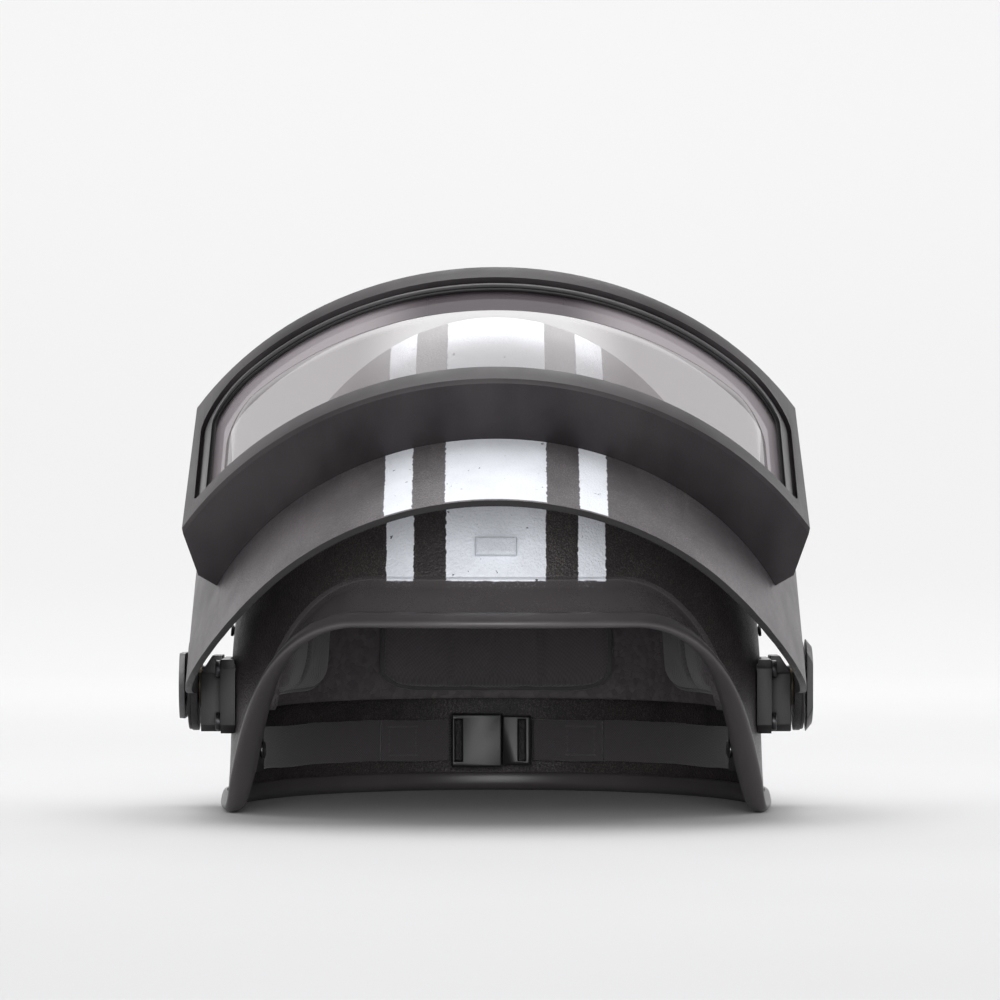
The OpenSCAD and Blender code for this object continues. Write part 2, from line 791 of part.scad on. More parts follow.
// Plan of the frame, one half: from inside the plate out to the flange's heel, along the end wall
// and on beyond the face
end_slope = 16;
end_depth = 24.4;
heel_run = 26;
heel_turn = 34;
corner = [frame_half_w, frame_fwd + sqrt(frame_r * frame_r - frame_half_w * frame_half_w)];
heel = corner - end_depth * [sin(end_slope), cos(end_slope)];
inside = heel - heel_run * [cos(heel_turn), sin(heel_turn)];
beyond = corner + frame_r * [sin(end_slope), cos(end_slope)];
module frame_plan() {
    half = [inside, heel, corner, beyond];
    polygon(concat([for (p = half) [p[0], -p[1]]],
        [for (i = [len(half) - 1:-1:0]) [-half[i][0], -half[i][1]]]));
}

// Frame blank: a deep curved bar from the plate outward, bevelled below, its ends leaning inward
end_lean = 1.3;
frame_bevel = 1.6;
module frame_blank() {
    difference() {
        intersection() {
            face_drum(0);
            translate([0, -frame_fwd, -frame_drop])
            cylinder(r1 = frame_r - frame_bevel, r2 = frame_r - frame_bevel + frame_h, h = frame_h,
                $fn = 180);
            translate([0, 0, -frame_drop])
            linear_extrude(frame_h)
            frame_plan();
        }
        plate_solid(plate_r + 0.1, -frame_drop - 1, frame_rise + 1);
        for (s = [-1, 1]) mirror([s < 0 ? 1 : 0, 0, 0])
            translate([corner[0], -corner[1], -frame_drop])
            rotate([0, -end_lean, 0])
            rotate([0, 0, end_slope])
            translate([0, -frame_r, -past])
            cube([frame_r, 2 * frame_r, 2 * frame_h]);
    }
}

// Depths of the window stack behind the face
gasket_front = step_d + bezel_t;
pane_front = gasket_front + gasket_t;
pane_back = pane_front + pane_t;
module window_frame() {
    color([0.34, 0.34, 0.35])
    visor_pose()
    difference() {
        frame_blank();
        difference() {
            step_prism(0, 0);
            face_drum(gasket_front + 0.02);
        }
        difference() {
            window_prism(0);
            face_drum(pane_back);
        }
        clear_way();
        frame_screw_spots() frame_screw_hole();
    }
}

// One layer of the window stack between two depths, a ring unless its hole is 0
module window_layer(near, far, grow, hole) {
    difference() {
        intersection() {
            face_drum(near);
            window_prism(grow);
        }
        face_drum(far);
        if (hole < 0) window_prism(hole);
    }
}

module window_bezel() {
    color([0.3, 0.3, 0.31])
    visor_pose()
    difference() {
        intersection() {
            face_drum(step_d);
            step_prism(groove_w, fit_gap);
        }
        face_drum(gasket_front);
        window_prism(-bezel_w);
    }
}

gasket_lip = 1.7;
module window_gasket() {
    color([0.09, 0.09, 0.1])
    visor_pose()
    window_layer(gasket_front + 0.04, pane_front - 0.02, -0.2, -bezel_w - gasket_lip);
}

module window_pane() {
    color([0.62, 0.6, 0.62, 0.6])
    visor_pose()
    window_layer(pane_front, pane_back - 0.05, -0.2, 0);
}

module tube_y(r, y0, y1) {
    translate([0, y0, 0])
    rotate([-90, 0, 0])
    cylinder(r = r, h = y1 - y0, $fn = 32);
}

// Screw places along the lower bar: angles round the frame, the local -Y pointing outward
frame_screw_deg = [-60, -36, -12, 12, 36, 60];
frame_screw_up = 5;
frame_screw_r = 1.75;
frame_screw_l = 8;
module frame_screw_spots() {
    for (a = frame_screw_deg)
        translate([0, -plate_fwd, frame_screw_up - frame_drop])
        rotate([0, 0, a])
        translate([0, -plate_r, 0])
        children();
}

module frame_screw_hole() {
    tube_y(frame_screw_r + fit_gap, -frame_screw_l - 0.4, 8);
}

module frame_screws() {
    color([0.4, 0.4, 0.41])
    visor_pose()
    frame_screw_spots() {
        tube_y(frame_screw_r, -frame_screw_l, plate_t + 0.3);
        tube_y(2 * frame_screw_r, plate_t + 0.12, plate_t + 1.4);
    }
}

shell();
edge_trim();
brow_block();
liner_bowl();
liner_spacers();
crown_pad();
brow_pad();
nape_pad();
side_pad();  // side_pad_left
mirror([1, 0, 0]) side_pad();  // side_pad_right
strap(plug_end);  // strap_left
mirror([1, 0, 0]) strap(socket_end);  // strap_right
strap_anchors();
anchor_rivets();
buckle_plug();
buckle_socket();
base_plate(1);  // base_plate_left
base_plate(-1);  // base_plate_right
hinge_block(1);  // hinge_block_left
hinge_block(-1);  // hinge_block_right
bracket_screws();
bracket_nuts();
pivot_pin(1);  // pivot_pin_left
pivot_pin(-1);  // pivot_pin_right
stop_pegs();
inner_washers();
outer_washers();
knob(1, 0);  // knob_left
knob(-1, 90);  // knob_right
visor_plate();
hinge_plate(1);  // hinge_plate_left
hinge_plate(-1);  // hinge_plate_right
window_frame();
window_gasket();
window_pane();
window_bezel();
frame_screws();
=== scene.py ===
"""Service helmet with a raised, windowed visor: finish, soft goods, studio and camera.

Front is -Y, the wearer's left is +X, Z is up. Shapes are worked out in millimetres.
"""

import json

import bmesh
import bpy
import numpy as np
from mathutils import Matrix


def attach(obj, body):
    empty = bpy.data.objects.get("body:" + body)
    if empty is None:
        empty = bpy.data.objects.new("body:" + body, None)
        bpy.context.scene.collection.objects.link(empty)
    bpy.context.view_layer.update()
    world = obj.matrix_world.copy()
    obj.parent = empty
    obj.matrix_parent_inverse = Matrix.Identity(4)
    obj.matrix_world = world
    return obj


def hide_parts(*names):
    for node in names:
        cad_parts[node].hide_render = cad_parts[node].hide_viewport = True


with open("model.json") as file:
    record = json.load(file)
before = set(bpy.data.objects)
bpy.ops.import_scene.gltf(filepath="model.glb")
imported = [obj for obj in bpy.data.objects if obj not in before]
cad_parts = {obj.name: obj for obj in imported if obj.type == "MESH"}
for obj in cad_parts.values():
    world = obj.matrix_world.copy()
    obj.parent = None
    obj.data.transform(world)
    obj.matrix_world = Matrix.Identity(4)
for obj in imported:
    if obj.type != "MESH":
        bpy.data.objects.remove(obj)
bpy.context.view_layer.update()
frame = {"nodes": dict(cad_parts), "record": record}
record = frame["record"]
SLOT_OF = {part["node"]: part["material_slot"] for part in record["subparts"]}
BODY_OF = {n: body for body, nodes in record["behaviour"]["bodies"].items() for n in nodes}

MM = 0.001
# Hinge axis, and the turn from closed up to the rest pose
HINGE_Y, HINGE_Z, RAISED = 11.7, 57.0, np.radians(60)
# Shell: half width, reaches from its middle, crown, top of the straight wall, wall, rim's swing
HALF_W, FRONT, REAR, DOME_Y = 123.0, 143.0, 147.0, 17.7
CROWN_Z, WALL_Z, WALL, TOE = 228.0, 58.0, 4.0, 2.0
DOME_H = CROWN_Z - WALL_Z
DOME_ARC = DOME_H * np.pi / 2
# Brow: height, turns where it ends and where the jaw starts, flare, its height, step inward
BROW_Z, BROW_TURN, JAW_TURN, FLARE, FLARE_H, LEDGE = 90.0, 27.0, 68.0, 11.0, 19.0, 2.4
# Edge trim: reach below the edge, over its sides, and how far the brow's lean shrinks it
NOSE, LAP, HUG = 4.0, 3.0, 0.28
# Liner: heights of its edge at the brow and low down, depths of its faces
LINER_BROW_Z, LINER_LOW_Z, LINER_OUT, LINER_IN = 112.0, 46.0, 9.5, 18.5
# Pads: depth of their backs, thickness, what a pad is less before it swells, height of its
# seam over the back, of the back's own rim, of the piping, most swelling, crown pad's edge
PAD_BACK, PAD_T, PAD_SLACK, PAD_SEAM, PAD_RIM = 19.3, 14.0, 3.4, 1.4, 1.1
PIPING_AT, SWELL, CROWN_PAD_Z = 1.9, 2.2, 189.5
# Chin strap: height, half width, thickness, depth, depth of its fold-backs, turn at its anchor
STRAP_Z, STRAP_HALF, STRAP_T, STRAP_DEPTH, FOLD_DEPTH, ANCHOR_TURN = 25.0, 10.0, 1.8, 4.35, 6.5, 98
# Turns at which the two halves of the strap end in the buckle
PLUG_TURN, SOCKET_TURN = 171.4, 169.0
# Visor, closed and about its hinge: chin edge, drums of the plate and frame, window
CHIN_DROP, PLATE_R, PLATE_FWD = 114.0, 141.0, 24.0
FRAME_R, FRAME_FWD = 166.5, 28.0
PANE_FRONT, PANE_BACK = 4.3, 12.3
WIN_HALF, WIN_LO, WIN_HI, WIN_ROUND = 130.5, -47.6, 34.7, 18.0
# Window block: clearance, border width, width of its rounded end, height of the step, corner
PANE_GAP, BORDER, BORDER_END, PANE_STEP, PANE_CORNER = 0.2, 8.6, 2.0, 1.3, 22.0
# Value of the pane's margin on its back face, beyond any on its front
BACK_FACE = 100.0
# Stripes: half the broad one, middle and half of the narrow ones, edges' softness and wander
BROAD_HALF, NARROW_AT, NARROW_HALF, SOFT, RAGGED = 22.1, 42.5, 6.1, 0.2, 1.6
# Heights at which the stripes end at the brow's crease and at the nape
CREASE_Z, STRIPE_END_Z = 108.0, 24.6


# Meshes
def placed(name, data):
    """A new object with its data, linked to the scene."""
    made = bpy.data.objects.new(name, data)
    bpy.context.scene.collection.objects.link(made)
    return made


def smoothed(mesh):
    """Smooth shading on every face."""
    mesh.polygons.foreach_set("use_smooth", np.ones(len(mesh.polygons), bool))


def as_shown(piece):
    """A new mesh of the piece with its modifiers applied."""
    return bpy.data.meshes.new_from_object(piece.evaluated_get(
        bpy.context.evaluated_depsgraph_get()))


def marked(piece, name, values):
    """Gives each point of the piece a number that its finish reads."""
    piece.data.attributes.new(name, "FLOAT", "POINT").data.foreach_set("value", values)


def put_mesh(name, points, quads, tris=()):
    """A mesh object from points in millimetres. A closed mesh that is inside out, by the sign
    of its volume (the sum of its triangles' triple products), is turned."""
    points = np.asarray(points, float)
    quads = np.asarray(quads, np.int64).reshape(-1, 4)
    tris = np.asarray(tris, np.int64).reshape(-1, 3)
    split = np.vstack([quads[:, [0, 1, 2]], quads[:, [0, 2, 3]], tris])
    a, b, c = (points[split[:, k]] - points.mean(axis=0) for k in range(3))
    if np.einsum("ij,ij->", a, np.cross(b, c)) < 0:
        quads, tris = quads[:, ::-1], tris[:, ::-1]
    mesh = bpy.data.meshes.new(name)
    mesh.vertices.add(len(points))
    mesh.vertices.foreach_set("co", (points * MM).ravel())
    corners = np.concatenate([quads.ravel(), tris.ravel()])
    mesh.loops.add(len(corners))
    mesh.loops.foreach_set("vertex_index", corners)
    starts = np.concatenate([np.arange(len(quads)) * 4, len(quads) * 4 + np.arange(len(tris)) * 3])
    mesh.polygons.add(len(starts))
    mesh.polygons.foreach_set("loop_start", starts)
    smoothed(mesh)
    mesh.update(calc_edges=True)
    mesh.validate()
    return placed(name, mesh)


def grid_quads(rows, cols, wrap_rows=False, wrap_cols=False):
    """Corner indices of a grid's cells, rows by columns, closed either way if asked."""
    i = np.arange(rows if wrap_rows else rows - 1)[:, None]
    j = np.arange(cols if wrap_cols else cols - 1)[None, :]
    up, on = (i + 1) % rows, (j + 1) % cols
    return np.stack([i * cols + j, i * cols + on, up * cols + on, up * cols + j], -1).reshape(-1, 4)


def sweep(rings, closed=False):
    """Points, quads and triangles of a ring carried along a path: rings is path by ring by 3.
    An open path gets a fan to the ring's middle at each end."""
    n, m, _ = rings.shape
    points = rings.reshape(-1, 3)
    quads = grid_quads(n, m, wrap_rows=closed, wrap_cols=True)
    if closed:
        return points, quads, np.zeros((0, 3), int)
    k = np.arange(m)
    on = (k + 1) % m
    first = np.stack([on, k, np.full(m, n * m)], 1)
    last = np.stack([(n - 1) * m + k, (n - 1) * m + on, np.full(m, n * m + 1)], 1)
    return np.vstack([points, rings[[0, -1]].mean(axis=1)]), quads, np.vstack([first, last])


def slab(front, back):
    """Points and quads of a closed plate between two grids of the same size, walled all round."""
    rows, cols, _ = front.shape
    count = rows * cols
    index = np.arange(count).reshape(rows, cols)
    rim = np.concatenate([index[0, :-1], index[:-1, -1], index[-1, :0:-1], index[:0:-1, 0]])
    on = np.roll(rim, -1)
    wall = np.stack([on, rim, rim + count, on + count], 1)
    face = grid_quads(rows, cols)
    return np.vstack([front.reshape(-1, 3), back.reshape(-1, 3)]), np.vstack(
        [face, face[:, ::-1] + count, wall])


def dressed(piece, body, slot, finish, *nodes):
    """Hangs a new piece on its body, gives it its finish and lets it stand for its nodes."""
    piece.data.materials.clear()
    piece.data.materials.append(finish)
    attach(piece, body)
    if nodes:
        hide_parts(*nodes)
    return piece


def edged(node, radius, finish, turn=32, steps=3):
    """A CAD node's shape with its doubles merged, its flats joined and its edges rounded."""
    mesh = frame["nodes"][node].data.copy()
    shape = bmesh.new()
    shape.from_mesh(mesh)
    bmesh.ops.remove_doubles(shape, verts=shape.verts, dist=2e-6)
    bmesh.ops.dissolve_limit(shape, angle_limit=np.radians(0.4), verts=shape.verts,
                             edges=shape.edges)
    shape.to_mesh(mesh)
    shape.free()
    piece = placed(node + "_edged", mesh)
    smoothed(mesh)
    bevel = piece.modifiers.new("edges", "BEVEL")
    bevel.width = radius * MM
    bevel.segments = steps
    bevel.limit_method = "ANGLE"
    bevel.angle_limit = np.radians(turn)
    bevel.harden_normals = True
    return dressed(piece, BODY_OF[node], SLOT_OF[node], finish, node)


# The shell's surface
def folded(phi):
    """Angle from the front, folded to 0..180 degrees."""
    return np.abs((phi + 180) % 360 - 180)


def edge_z(phi, brow, low, turn, jaw):
    """Height of an edge: level at the brow, then falling by a power curve to a level lower
    edge, rounded where the two meet."""
    t = np.maximum((folded(phi) - turn) / (jaw - turn), 0)
    fall = low + (brow - low) * (1 - t ** 2.2)
    h = np.maximum(14 - np.abs(fall - low), 0) / 14
    return np.maximum(fall, low) + h * h * 3.5


def rim_z(phi):
    """Height of the shell's edge."""
    return edge_z(phi, BROW_Z, NOSE, BROW_TURN, JAW_TURN)


def liner_z(phi):
    """Height of the liner's edge."""
    return edge_z(phi, LINER_BROW_Z, LINER_LOW_Z, BROW_TURN + 8, JAW_TURN + 6)


def arc_of(z):
    """Arc height along the dome for a height above the floor."""
    return np.where(z <= WALL_Z, z - WALL_Z,
                    np.arcsin(np.clip((z - WALL_Z) / DOME_H, 0, 1)) / (np.pi / 2) * DOME_ARC)


def brow_share(phi):
    """Share of the brow's shape: whole in front, none behind the jaw, smooth between."""
    side = np.clip((folded(phi) - 40) / 50, 0, 1)
    return 1 - side * side * (3 - 2 * side)


def skin(phi, w, o):
    """Point of the shell: ellipse wall below, ellipsoid above, flared at the brow by a power of
    the nearness to the edge, with a small step inward under the brow's crease. phi is the angle
    from the front, w the arc height and o the depth inward."""
    phi, w, o = np.broadcast_arrays(*(np.asarray(v, float) for v in (phi, w, o)))
    a = np.radians(phi)
    b = np.where(np.cos(a) > 0, FRONT, REAR)
    turn = np.maximum(w, 0) / DOME_ARC * np.pi / 2
    z = np.where(w <= 0, WALL_Z + w, WALL_Z + (DOME_H - o) * np.sin(turn))
    near = np.clip(1 - (z - rim_z(phi)) / FLARE_H, 0, 1.5)
    step = LEDGE * np.clip(near / 0.07, 0, 1) * np.clip((1 - near) / 0.75, 0, 1) ** 1.4
    out = np.where(w <= 0, TOE * (w / WALL_Z) ** 2, 0) - o + brow_share(phi) * (
        FLARE * near ** 1.6 - step)
    g = np.cos(turn)
    return np.stack([(HALF_W + out) * g * np.sin(a), DOME_Y - (b + out) * g * np.cos(a), z], -1)


def rows_up(low, count, crease):
    """Arc heights of a bowl's rows: the first quarter from the edge to a height above it, closer
    towards that height, the rest from there to the crown, spaced wider upward."""
    first = count // 4 if crease else 0
    w0, w1 = arc_of(low), arc_of(low + crease)
    near = 1 - (1 - (np.arange(first) / max(first, 1))[:, None]) ** 1.8
    far = (np.arange(count - first) / (count - first))[:, None] ** 1.25
    return np.vstack([w0 + (w1 - w0) * near, w1 + (DOME_ARC - w1) * far])


def bowl(low_z, outer, inner, cols, rows, inner_rows, crease=0.0):
    """Closed bowl between two depths: rows of the skin from an edge curve up to the crown, each
    side closed by a fan at the crown and both joined at the edge."""
    phi = np.arange(cols) * 360 / cols
    sides = [skin(phi[None, :], rows_up(low_z(phi), count, crease), depth).reshape(-1, 3)
             for depth, count in ((outer, rows), (inner, inner_rows))]
    tops = np.array([skin(0, DOME_ARC, outer), skin(0, DOME_ARC, inner)])
    start = rows * cols
    end = start + inner_rows * cols
    k = np.arange(cols)
    on = (k + 1) % cols
    quads = np.vstack([grid_quads(rows, cols, wrap_cols=True),
                       grid_quads(inner_rows, cols, wrap_cols=True)[:, ::-1] + start,
                       np.stack([on, k, start + k, start + on], 1)])
    high, low = (rows - 1) * cols, start + (inner_rows - 1) * cols
    tris = np.vstack([np.stack([high + k, high + on, np.full(cols, end)], 1),
                      np.stack([low + on, low + k, np.full(cols, end + 1)], 1)])
    return np.vstack(sides + [tops]), quads, tris


def along_rim(count):
    """Angles from the front at even steps along the shell's edge line."""
    phi = np.linspace(0, 360, 6001)
    line = skin(phi, arc_of(rim_z(phi)), WALL / 2)
    run = np.concatenate([[0], np.cumsum(np.linalg.norm(np.diff(line, axis=0), axis=1))])
    return np.interp(np.linspace(0, run[-1], count + 1)[:-1], run, phi)


def trim_rings(phi, section):
    """The trim's section at each angle: a point (s, o) steps s across the edge line, up into
    the shell, and o inward through its wall; the steps shrink at the leaning brow."""
    back, ahead = (skin(phi + step, arc_of(rim_z(phi + step)), WALL / 2) for step in (-0.5, 0.5))
    ahead = ahead - back
    run, length = np.hypot(ahead[:, 0], ahead[:, 1]), np.linalg.norm(ahead, axis=1)
    s, o = section[None, :, 0], section[None, :, 1]
    turn = -s * (ahead[:, 2] / length / run)[:, None]
    lift = s * (run / length * (1 - HUG * brow_share(phi)))[:, None]
    return skin(phi[:, None] + turn, arc_of(rim_z(phi))[:, None] + lift, o + 0 * lift)


def raised(points):
    """A point drawn with the visor closed about its hinge axis, turned up to the rest pose."""
    x, y, z = np.moveaxis(np.asarray(points, float), -1, 0)
    c, s = np.cos(RAISED), np.sin(RAISED)
    return np.stack([x, HINGE_Y + y * c + z * s, HINGE_Z - y * s + z * c], -1)


# Finishes
def srgb(r, g, b, a=1.0):
    """Linear colour from 0..255 display values."""
    return tuple(((v / 255 + 0.055) / 1.055) ** 2.4 for v in (r, g, b)) + (a,)


def scaled(colour, share):
    """A colour made darker or lighter by a share, full at most."""
    return tuple(min(v * share, 1) for v in colour[:3]) + (1,)


def node(tree, kind, sockets=None, **settings):
    """A shader node with its settings, and its sockets linked or set."""
    made = tree.nodes.new("ShaderNode" + kind)
    for key, value in settings.items():
        setattr(made, key, value)
    for key, value in (sockets or {}).items():
        if isinstance(value, bpy.types.NodeSocket):
            tree.links.new(value, made.inputs[key])
        else:
            made.inputs[key].default_value = value
    return made


def maths(tree, kind, *values, clamp=False):
    """One arithmetic step on numbers or sockets."""
    return node(tree, "Math", dict(enumerate(values)), operation=kind, use_clamp=clamp).outputs[0]


def spread(tree, value, low, high, start=0.0, end=1.0):
    """Low where the value is at the start, high at the end, straight between."""
    return node(tree, "MapRange", {"Value": value, "From Min": start, "From Max": end,
                                   "To Min": low, "To Max": high}).outputs[0]


def ramp(tree, value, low, high):
    """0 below low, 1 above high, smooth between."""
    return node(tree, "MapRange", {"Value": value, "From Min": low, "From Max": high},
                interpolation_type="SMOOTHSTEP").outputs[0]


def noise(tree, where, scale, detail=3.0, rough=0.55, stretch=None):
    """Noise at a scale per metre, stretched along an axis if asked."""
    if stretch:
        where = node(tree, "Mapping", {"Vector": where, "Scale": stretch}).outputs[0]
    return node(tree, "TexNoise", {"Vector": where, "Scale": scale, "Detail": detail,
                                   "Roughness": rough}).outputs[0]


def blend(tree, share, a, b):
    """Colour a going to b as share goes from 0 to 1."""
    made = tree.nodes.new("ShaderNodeMix")
    made.data_type = "RGBA"
    for key, value in (("Factor", share), ("A", a), ("B", b)):
        plug = [s for s in made.inputs if s.name == key and s.enabled][0]
        if isinstance(value, bpy.types.NodeSocket):
            tree.links.new(value, plug)
        else:
            plug.default_value = value
    return [s for s in made.outputs if s.enabled][0]


def new_finish(name, **fixed):
    """A material with its shader, its node tree and object coordinates; fixed values are set
    on the shader's own sockets."""
    finish = bpy.data.materials.new(name)
    finish.use_nodes = True
    tree = finish.node_tree
    shader = tree.nodes["Principled BSDF"]
    for key, value in fixed.items():
        shader.inputs[key.replace("_", " ")].default_value = value
    where = tree.nodes.new("ShaderNodeTexCoord").outputs["Object"]
    return finish, tree, shader, where


def fill_in(tree, shader, colour, rough, *layers):
    """Links a colour, a roughness and bumps in a row: (height, depth in metres, strength)."""
    tree.links.new(colour, shader.inputs["Base Color"])
    tree.links.new(rough, shader.inputs["Roughness"])
    normal = None
    for height, depth, strength in layers:
        sockets = {"Height": height, "Distance": depth, "Strength": strength}
        if normal:
            sockets["Normal"] = normal
        normal = node(tree, "Bump", sockets).outputs[0]
    tree.links.new(normal, shader.inputs["Normal"])


def both(tree, *shares):
    """Product of several shares."""
    whole = shares[0]
    for share in shares[1:]:
        whole = maths(tree, "MULTIPLY", whole, share)
    return whole


def stripes(tree, where):
    """1 on the broad centre stripe and the narrow stripe on each side, with slightly ragged
    edges: the distance from the middle is moved by noise before it is compared."""
    x = node(tree, "SeparateXYZ", {"Vector": where}).outputs[0]
    wave = both(tree, maths(tree, "SUBTRACT", noise(tree, where, 420, 2.0, 0.6), 0.5),
                RAGGED * MM)
    far = maths(tree, "ADD", maths(tree, "ABSOLUTE", x), wave)
    side = maths(tree, "ABSOLUTE", maths(tree, "SUBTRACT", far, NARROW_AT * MM))
    shares = [ramp(tree, value, (half + SOFT) * MM, (half - SOFT) * MM)
              for value, half in ((far, BROAD_HALF), (side, NARROW_HALF))]
    return maths(tree, "MAXIMUM", *shares)


def shell_stripes(tree, where):
    """The stripes on the shell's outer face: from the brow crease over the crown and down the
    back, with faint overspray below the crease."""
    outside = node(tree, "Attribute", attribute_name="outside").outputs["Fac"]
    place = node(tree, "SeparateXYZ", {"Vector": where})
    wobble = both(tree, noise(tree, where, 160, 3.0, 0.6), RAGGED * MM)
    height = maths(tree, "ADD", place.outputs[2], wobble)
    front = ramp(tree, height, (CREASE_Z - 0.4) * MM, (CREASE_Z + 0.4) * MM)
    mist = both(tree, ramp(tree, height, (CREASE_Z - 5) * MM, CREASE_Z * MM),
                ramp(tree, noise(tree, where, 900, 2.0, 0.7), 0.55, 0.7), 0.12)
    back = both(tree, ramp(tree, place.outputs[1], 0.02, 0.03),
                ramp(tree, height, (STRIPE_END_Z - 0.6) * MM, (STRIPE_END_Z + 0.6) * MM))
    return both(tree, stripes(tree, where), outside,
                maths(tree, "MAXIMUM", maths(tree, "MAXIMUM", front, mist), back))


def plate_stripes(tree, where):
    """The stripes on the plate's outer face alone. The place is turned back to the closed visor,
    where the face is a drum: its radius and its height above the chin edge are compared."""
    closed = node(tree, "Mapping", {"Vector": where, "Location": (0, HINGE_Y * MM, HINGE_Z * MM),
                                    "Rotation": (-RAISED, 0, 0)}, vector_type="TEXTURE").outputs[0]
    place = node(tree, "SeparateXYZ", {"Vector": closed})
    ahead = maths(tree, "ADD", place.outputs[1], PLATE_FWD * MM)
    radius = maths(tree, "SQRT", maths(tree, "ADD", both(tree, ahead, ahead),
                                       both(tree, place.outputs[0], place.outputs[0])))
    outer = ramp(tree, radius, (PLATE_R - 0.9) * MM, (PLATE_R - 0.6) * MM)
    above = ramp(tree, place.outputs[2], (0.8 - CHIN_DROP) * MM, (1.6 - CHIN_DROP) * MM)
    return both(tree, stripes(tree, where), outer, above)


def painted(name, ground, tip, grain, depth, rough, mask=None, white=None, sheen=0.35,
            shade_way=None):
    """Moulded shell under textured paint: pebbles from noise at the grain's size, lighter worn
    tips, broad mottling, and white paint by a mask, chipped and grimy. Where the piece's own
    cove attribute is 1 the surface is smooth and glossier, and its colour goes towards a lighter
    grey as painted sheen. Faces that look along the given way are darkened as painted shade."""
    finish, tree, shader, where = new_finish(name, Specular_IOR_Level=sheen)
    pebble = noise(tree, where, 1 / grain, 2.5, 0.5)
    speck = noise(tree, where, 2.2 / grain, 2.0, 0.6)
    mottle = noise(tree, where, 26, 5.0, 0.62)
    shade = blend(tree, ramp(tree, mottle, 0.32, 0.7), scaled(ground, 0.86), scaled(ground, 1.14))
    cove = node(tree, "Attribute", attribute_name="cove").outputs["Fac"]
    pebbled = maths(tree, "SUBTRACT", 1.0, cove)
    worn = both(tree, ramp(tree, speck, 0.46, 0.68), ramp(tree, mottle, 0.2, 0.6), pebbled, 0.8)
    # Painted sheen: in the cove the colour goes most of the way to a lighter grey
    colour = blend(tree, both(tree, cove, 0.6), blend(tree, worn, shade, tip), COVE_PAINTED_SHEEN)
    if mask:
        chips = ramp(tree, noise(tree, where, 230, 4.0, 0.7), 0.30, 0.34)
        grime = ramp(tree, noise(tree, where, 60, 5.0, 0.65), 0.35, 0.8)
        grit = ramp(tree, speck, 0.5, 0.3)
        dirt = maths(tree, "ADD", both(tree, grime, 0.28), both(tree, grit, 0.22))
        paint = blend(tree, dirt, white, scaled(white, 0.62))
        colour = blend(tree, both(tree, mask(tree, where), chips), colour, paint)
    # Painted shade: faces turned along the given way, such as the visor's chin edge, go towards
    # near black
    if shade_way:
        facing = tree.nodes.new("ShaderNodeTexCoord").outputs["Normal"]
        along = node(tree, "VectorMath", {0: facing, 1: shade_way}, operation="DOT_PRODUCT")
        colour = blend(tree, ramp(tree, along.outputs["Value"], 0.45, 0.8), colour, EDGE_PAINTED_SHADE)
    gloss = maths(tree, "ADD", both(tree, mottle, 0.6), both(tree, speck, 0.4))
    dull = spread(tree, gloss, rough + 0.14, rough - 0.1, 0.25, 0.75)
    fill_in(tree, shader, colour, maths(tree, "SUBTRACT", dull, both(tree, cove, 0.14)),
            (both(tree, pebble, pebbled), depth * MM, 1.0),
            (both(tree, speck, pebbled), depth * 0.4 * MM, 0.8))
    return finish


def moulded(name, colour, rough, grain=0.7, depth=0.03, sheen=0.4, lift=1.25, patchy=0.07):
    """Satin moulding: a fine grain, flow marks and uneven gloss."""
    finish, tree, shader, where = new_finish(name, Specular_IOR_Level=sheen)
    fine = noise(tree, where, 1000 / grain, 3.0, 0.6)
    flow = noise(tree, where, 30, 3.0, 0.5, (1, 1, 0.35))
    fill_in(tree, shader,
            blend(tree, ramp(tree, flow, 0.3, 0.75), colour, scaled(colour, lift)),
            spread(tree, flow, rough - patchy, rough + patchy), (fine, depth * MM, 0.8))
    return finish


def metal(name, colour, rough, stretch=(1, 8, 8)):
    """Turned or brushed metal: fine marks stretched along one axis."""
    finish, tree, shader, where = new_finish(name, Metallic=1.0)
    marks = noise(tree, where, 900, 3.0, 0.6, stretch)
    stain = noise(tree, where, 70, 4.0, 0.6)
    fill_in(tree, shader,
            blend(tree, ramp(tree, stain, 0.35, 0.75), colour, scaled(colour, 0.62)),
            spread(tree, marks, rough - 0.1, rough + 0.14), (marks, 0.01 * MM, 0.7))
    return finish


def foam(name, colour):
    """Moulded bead foam: cells a few millimetres across with a shallow seam round each."""
    finish, tree, shader, where = new_finish(name, Specular_IOR_Level=0.25)
    beads = {"Vector": where, "Scale": 330}
    seams = node(tree, "TexVoronoi", beads, feature="DISTANCE_TO_EDGE").outputs["Distance"]
    tone = node(tree, "TexVoronoi", beads).outputs["Color"]
    grey = node(tree, "RGBToBW", {"Color": tone}).outputs[0]
    fill_in(tree, shader, blend(tree, grey, colour, scaled(colour, 1.6)),
            spread(tree, grey, 0.6, 0.8), (ramp(tree, seams, 0.0, 0.12), 0.25 * MM, 0.8))
    return finish


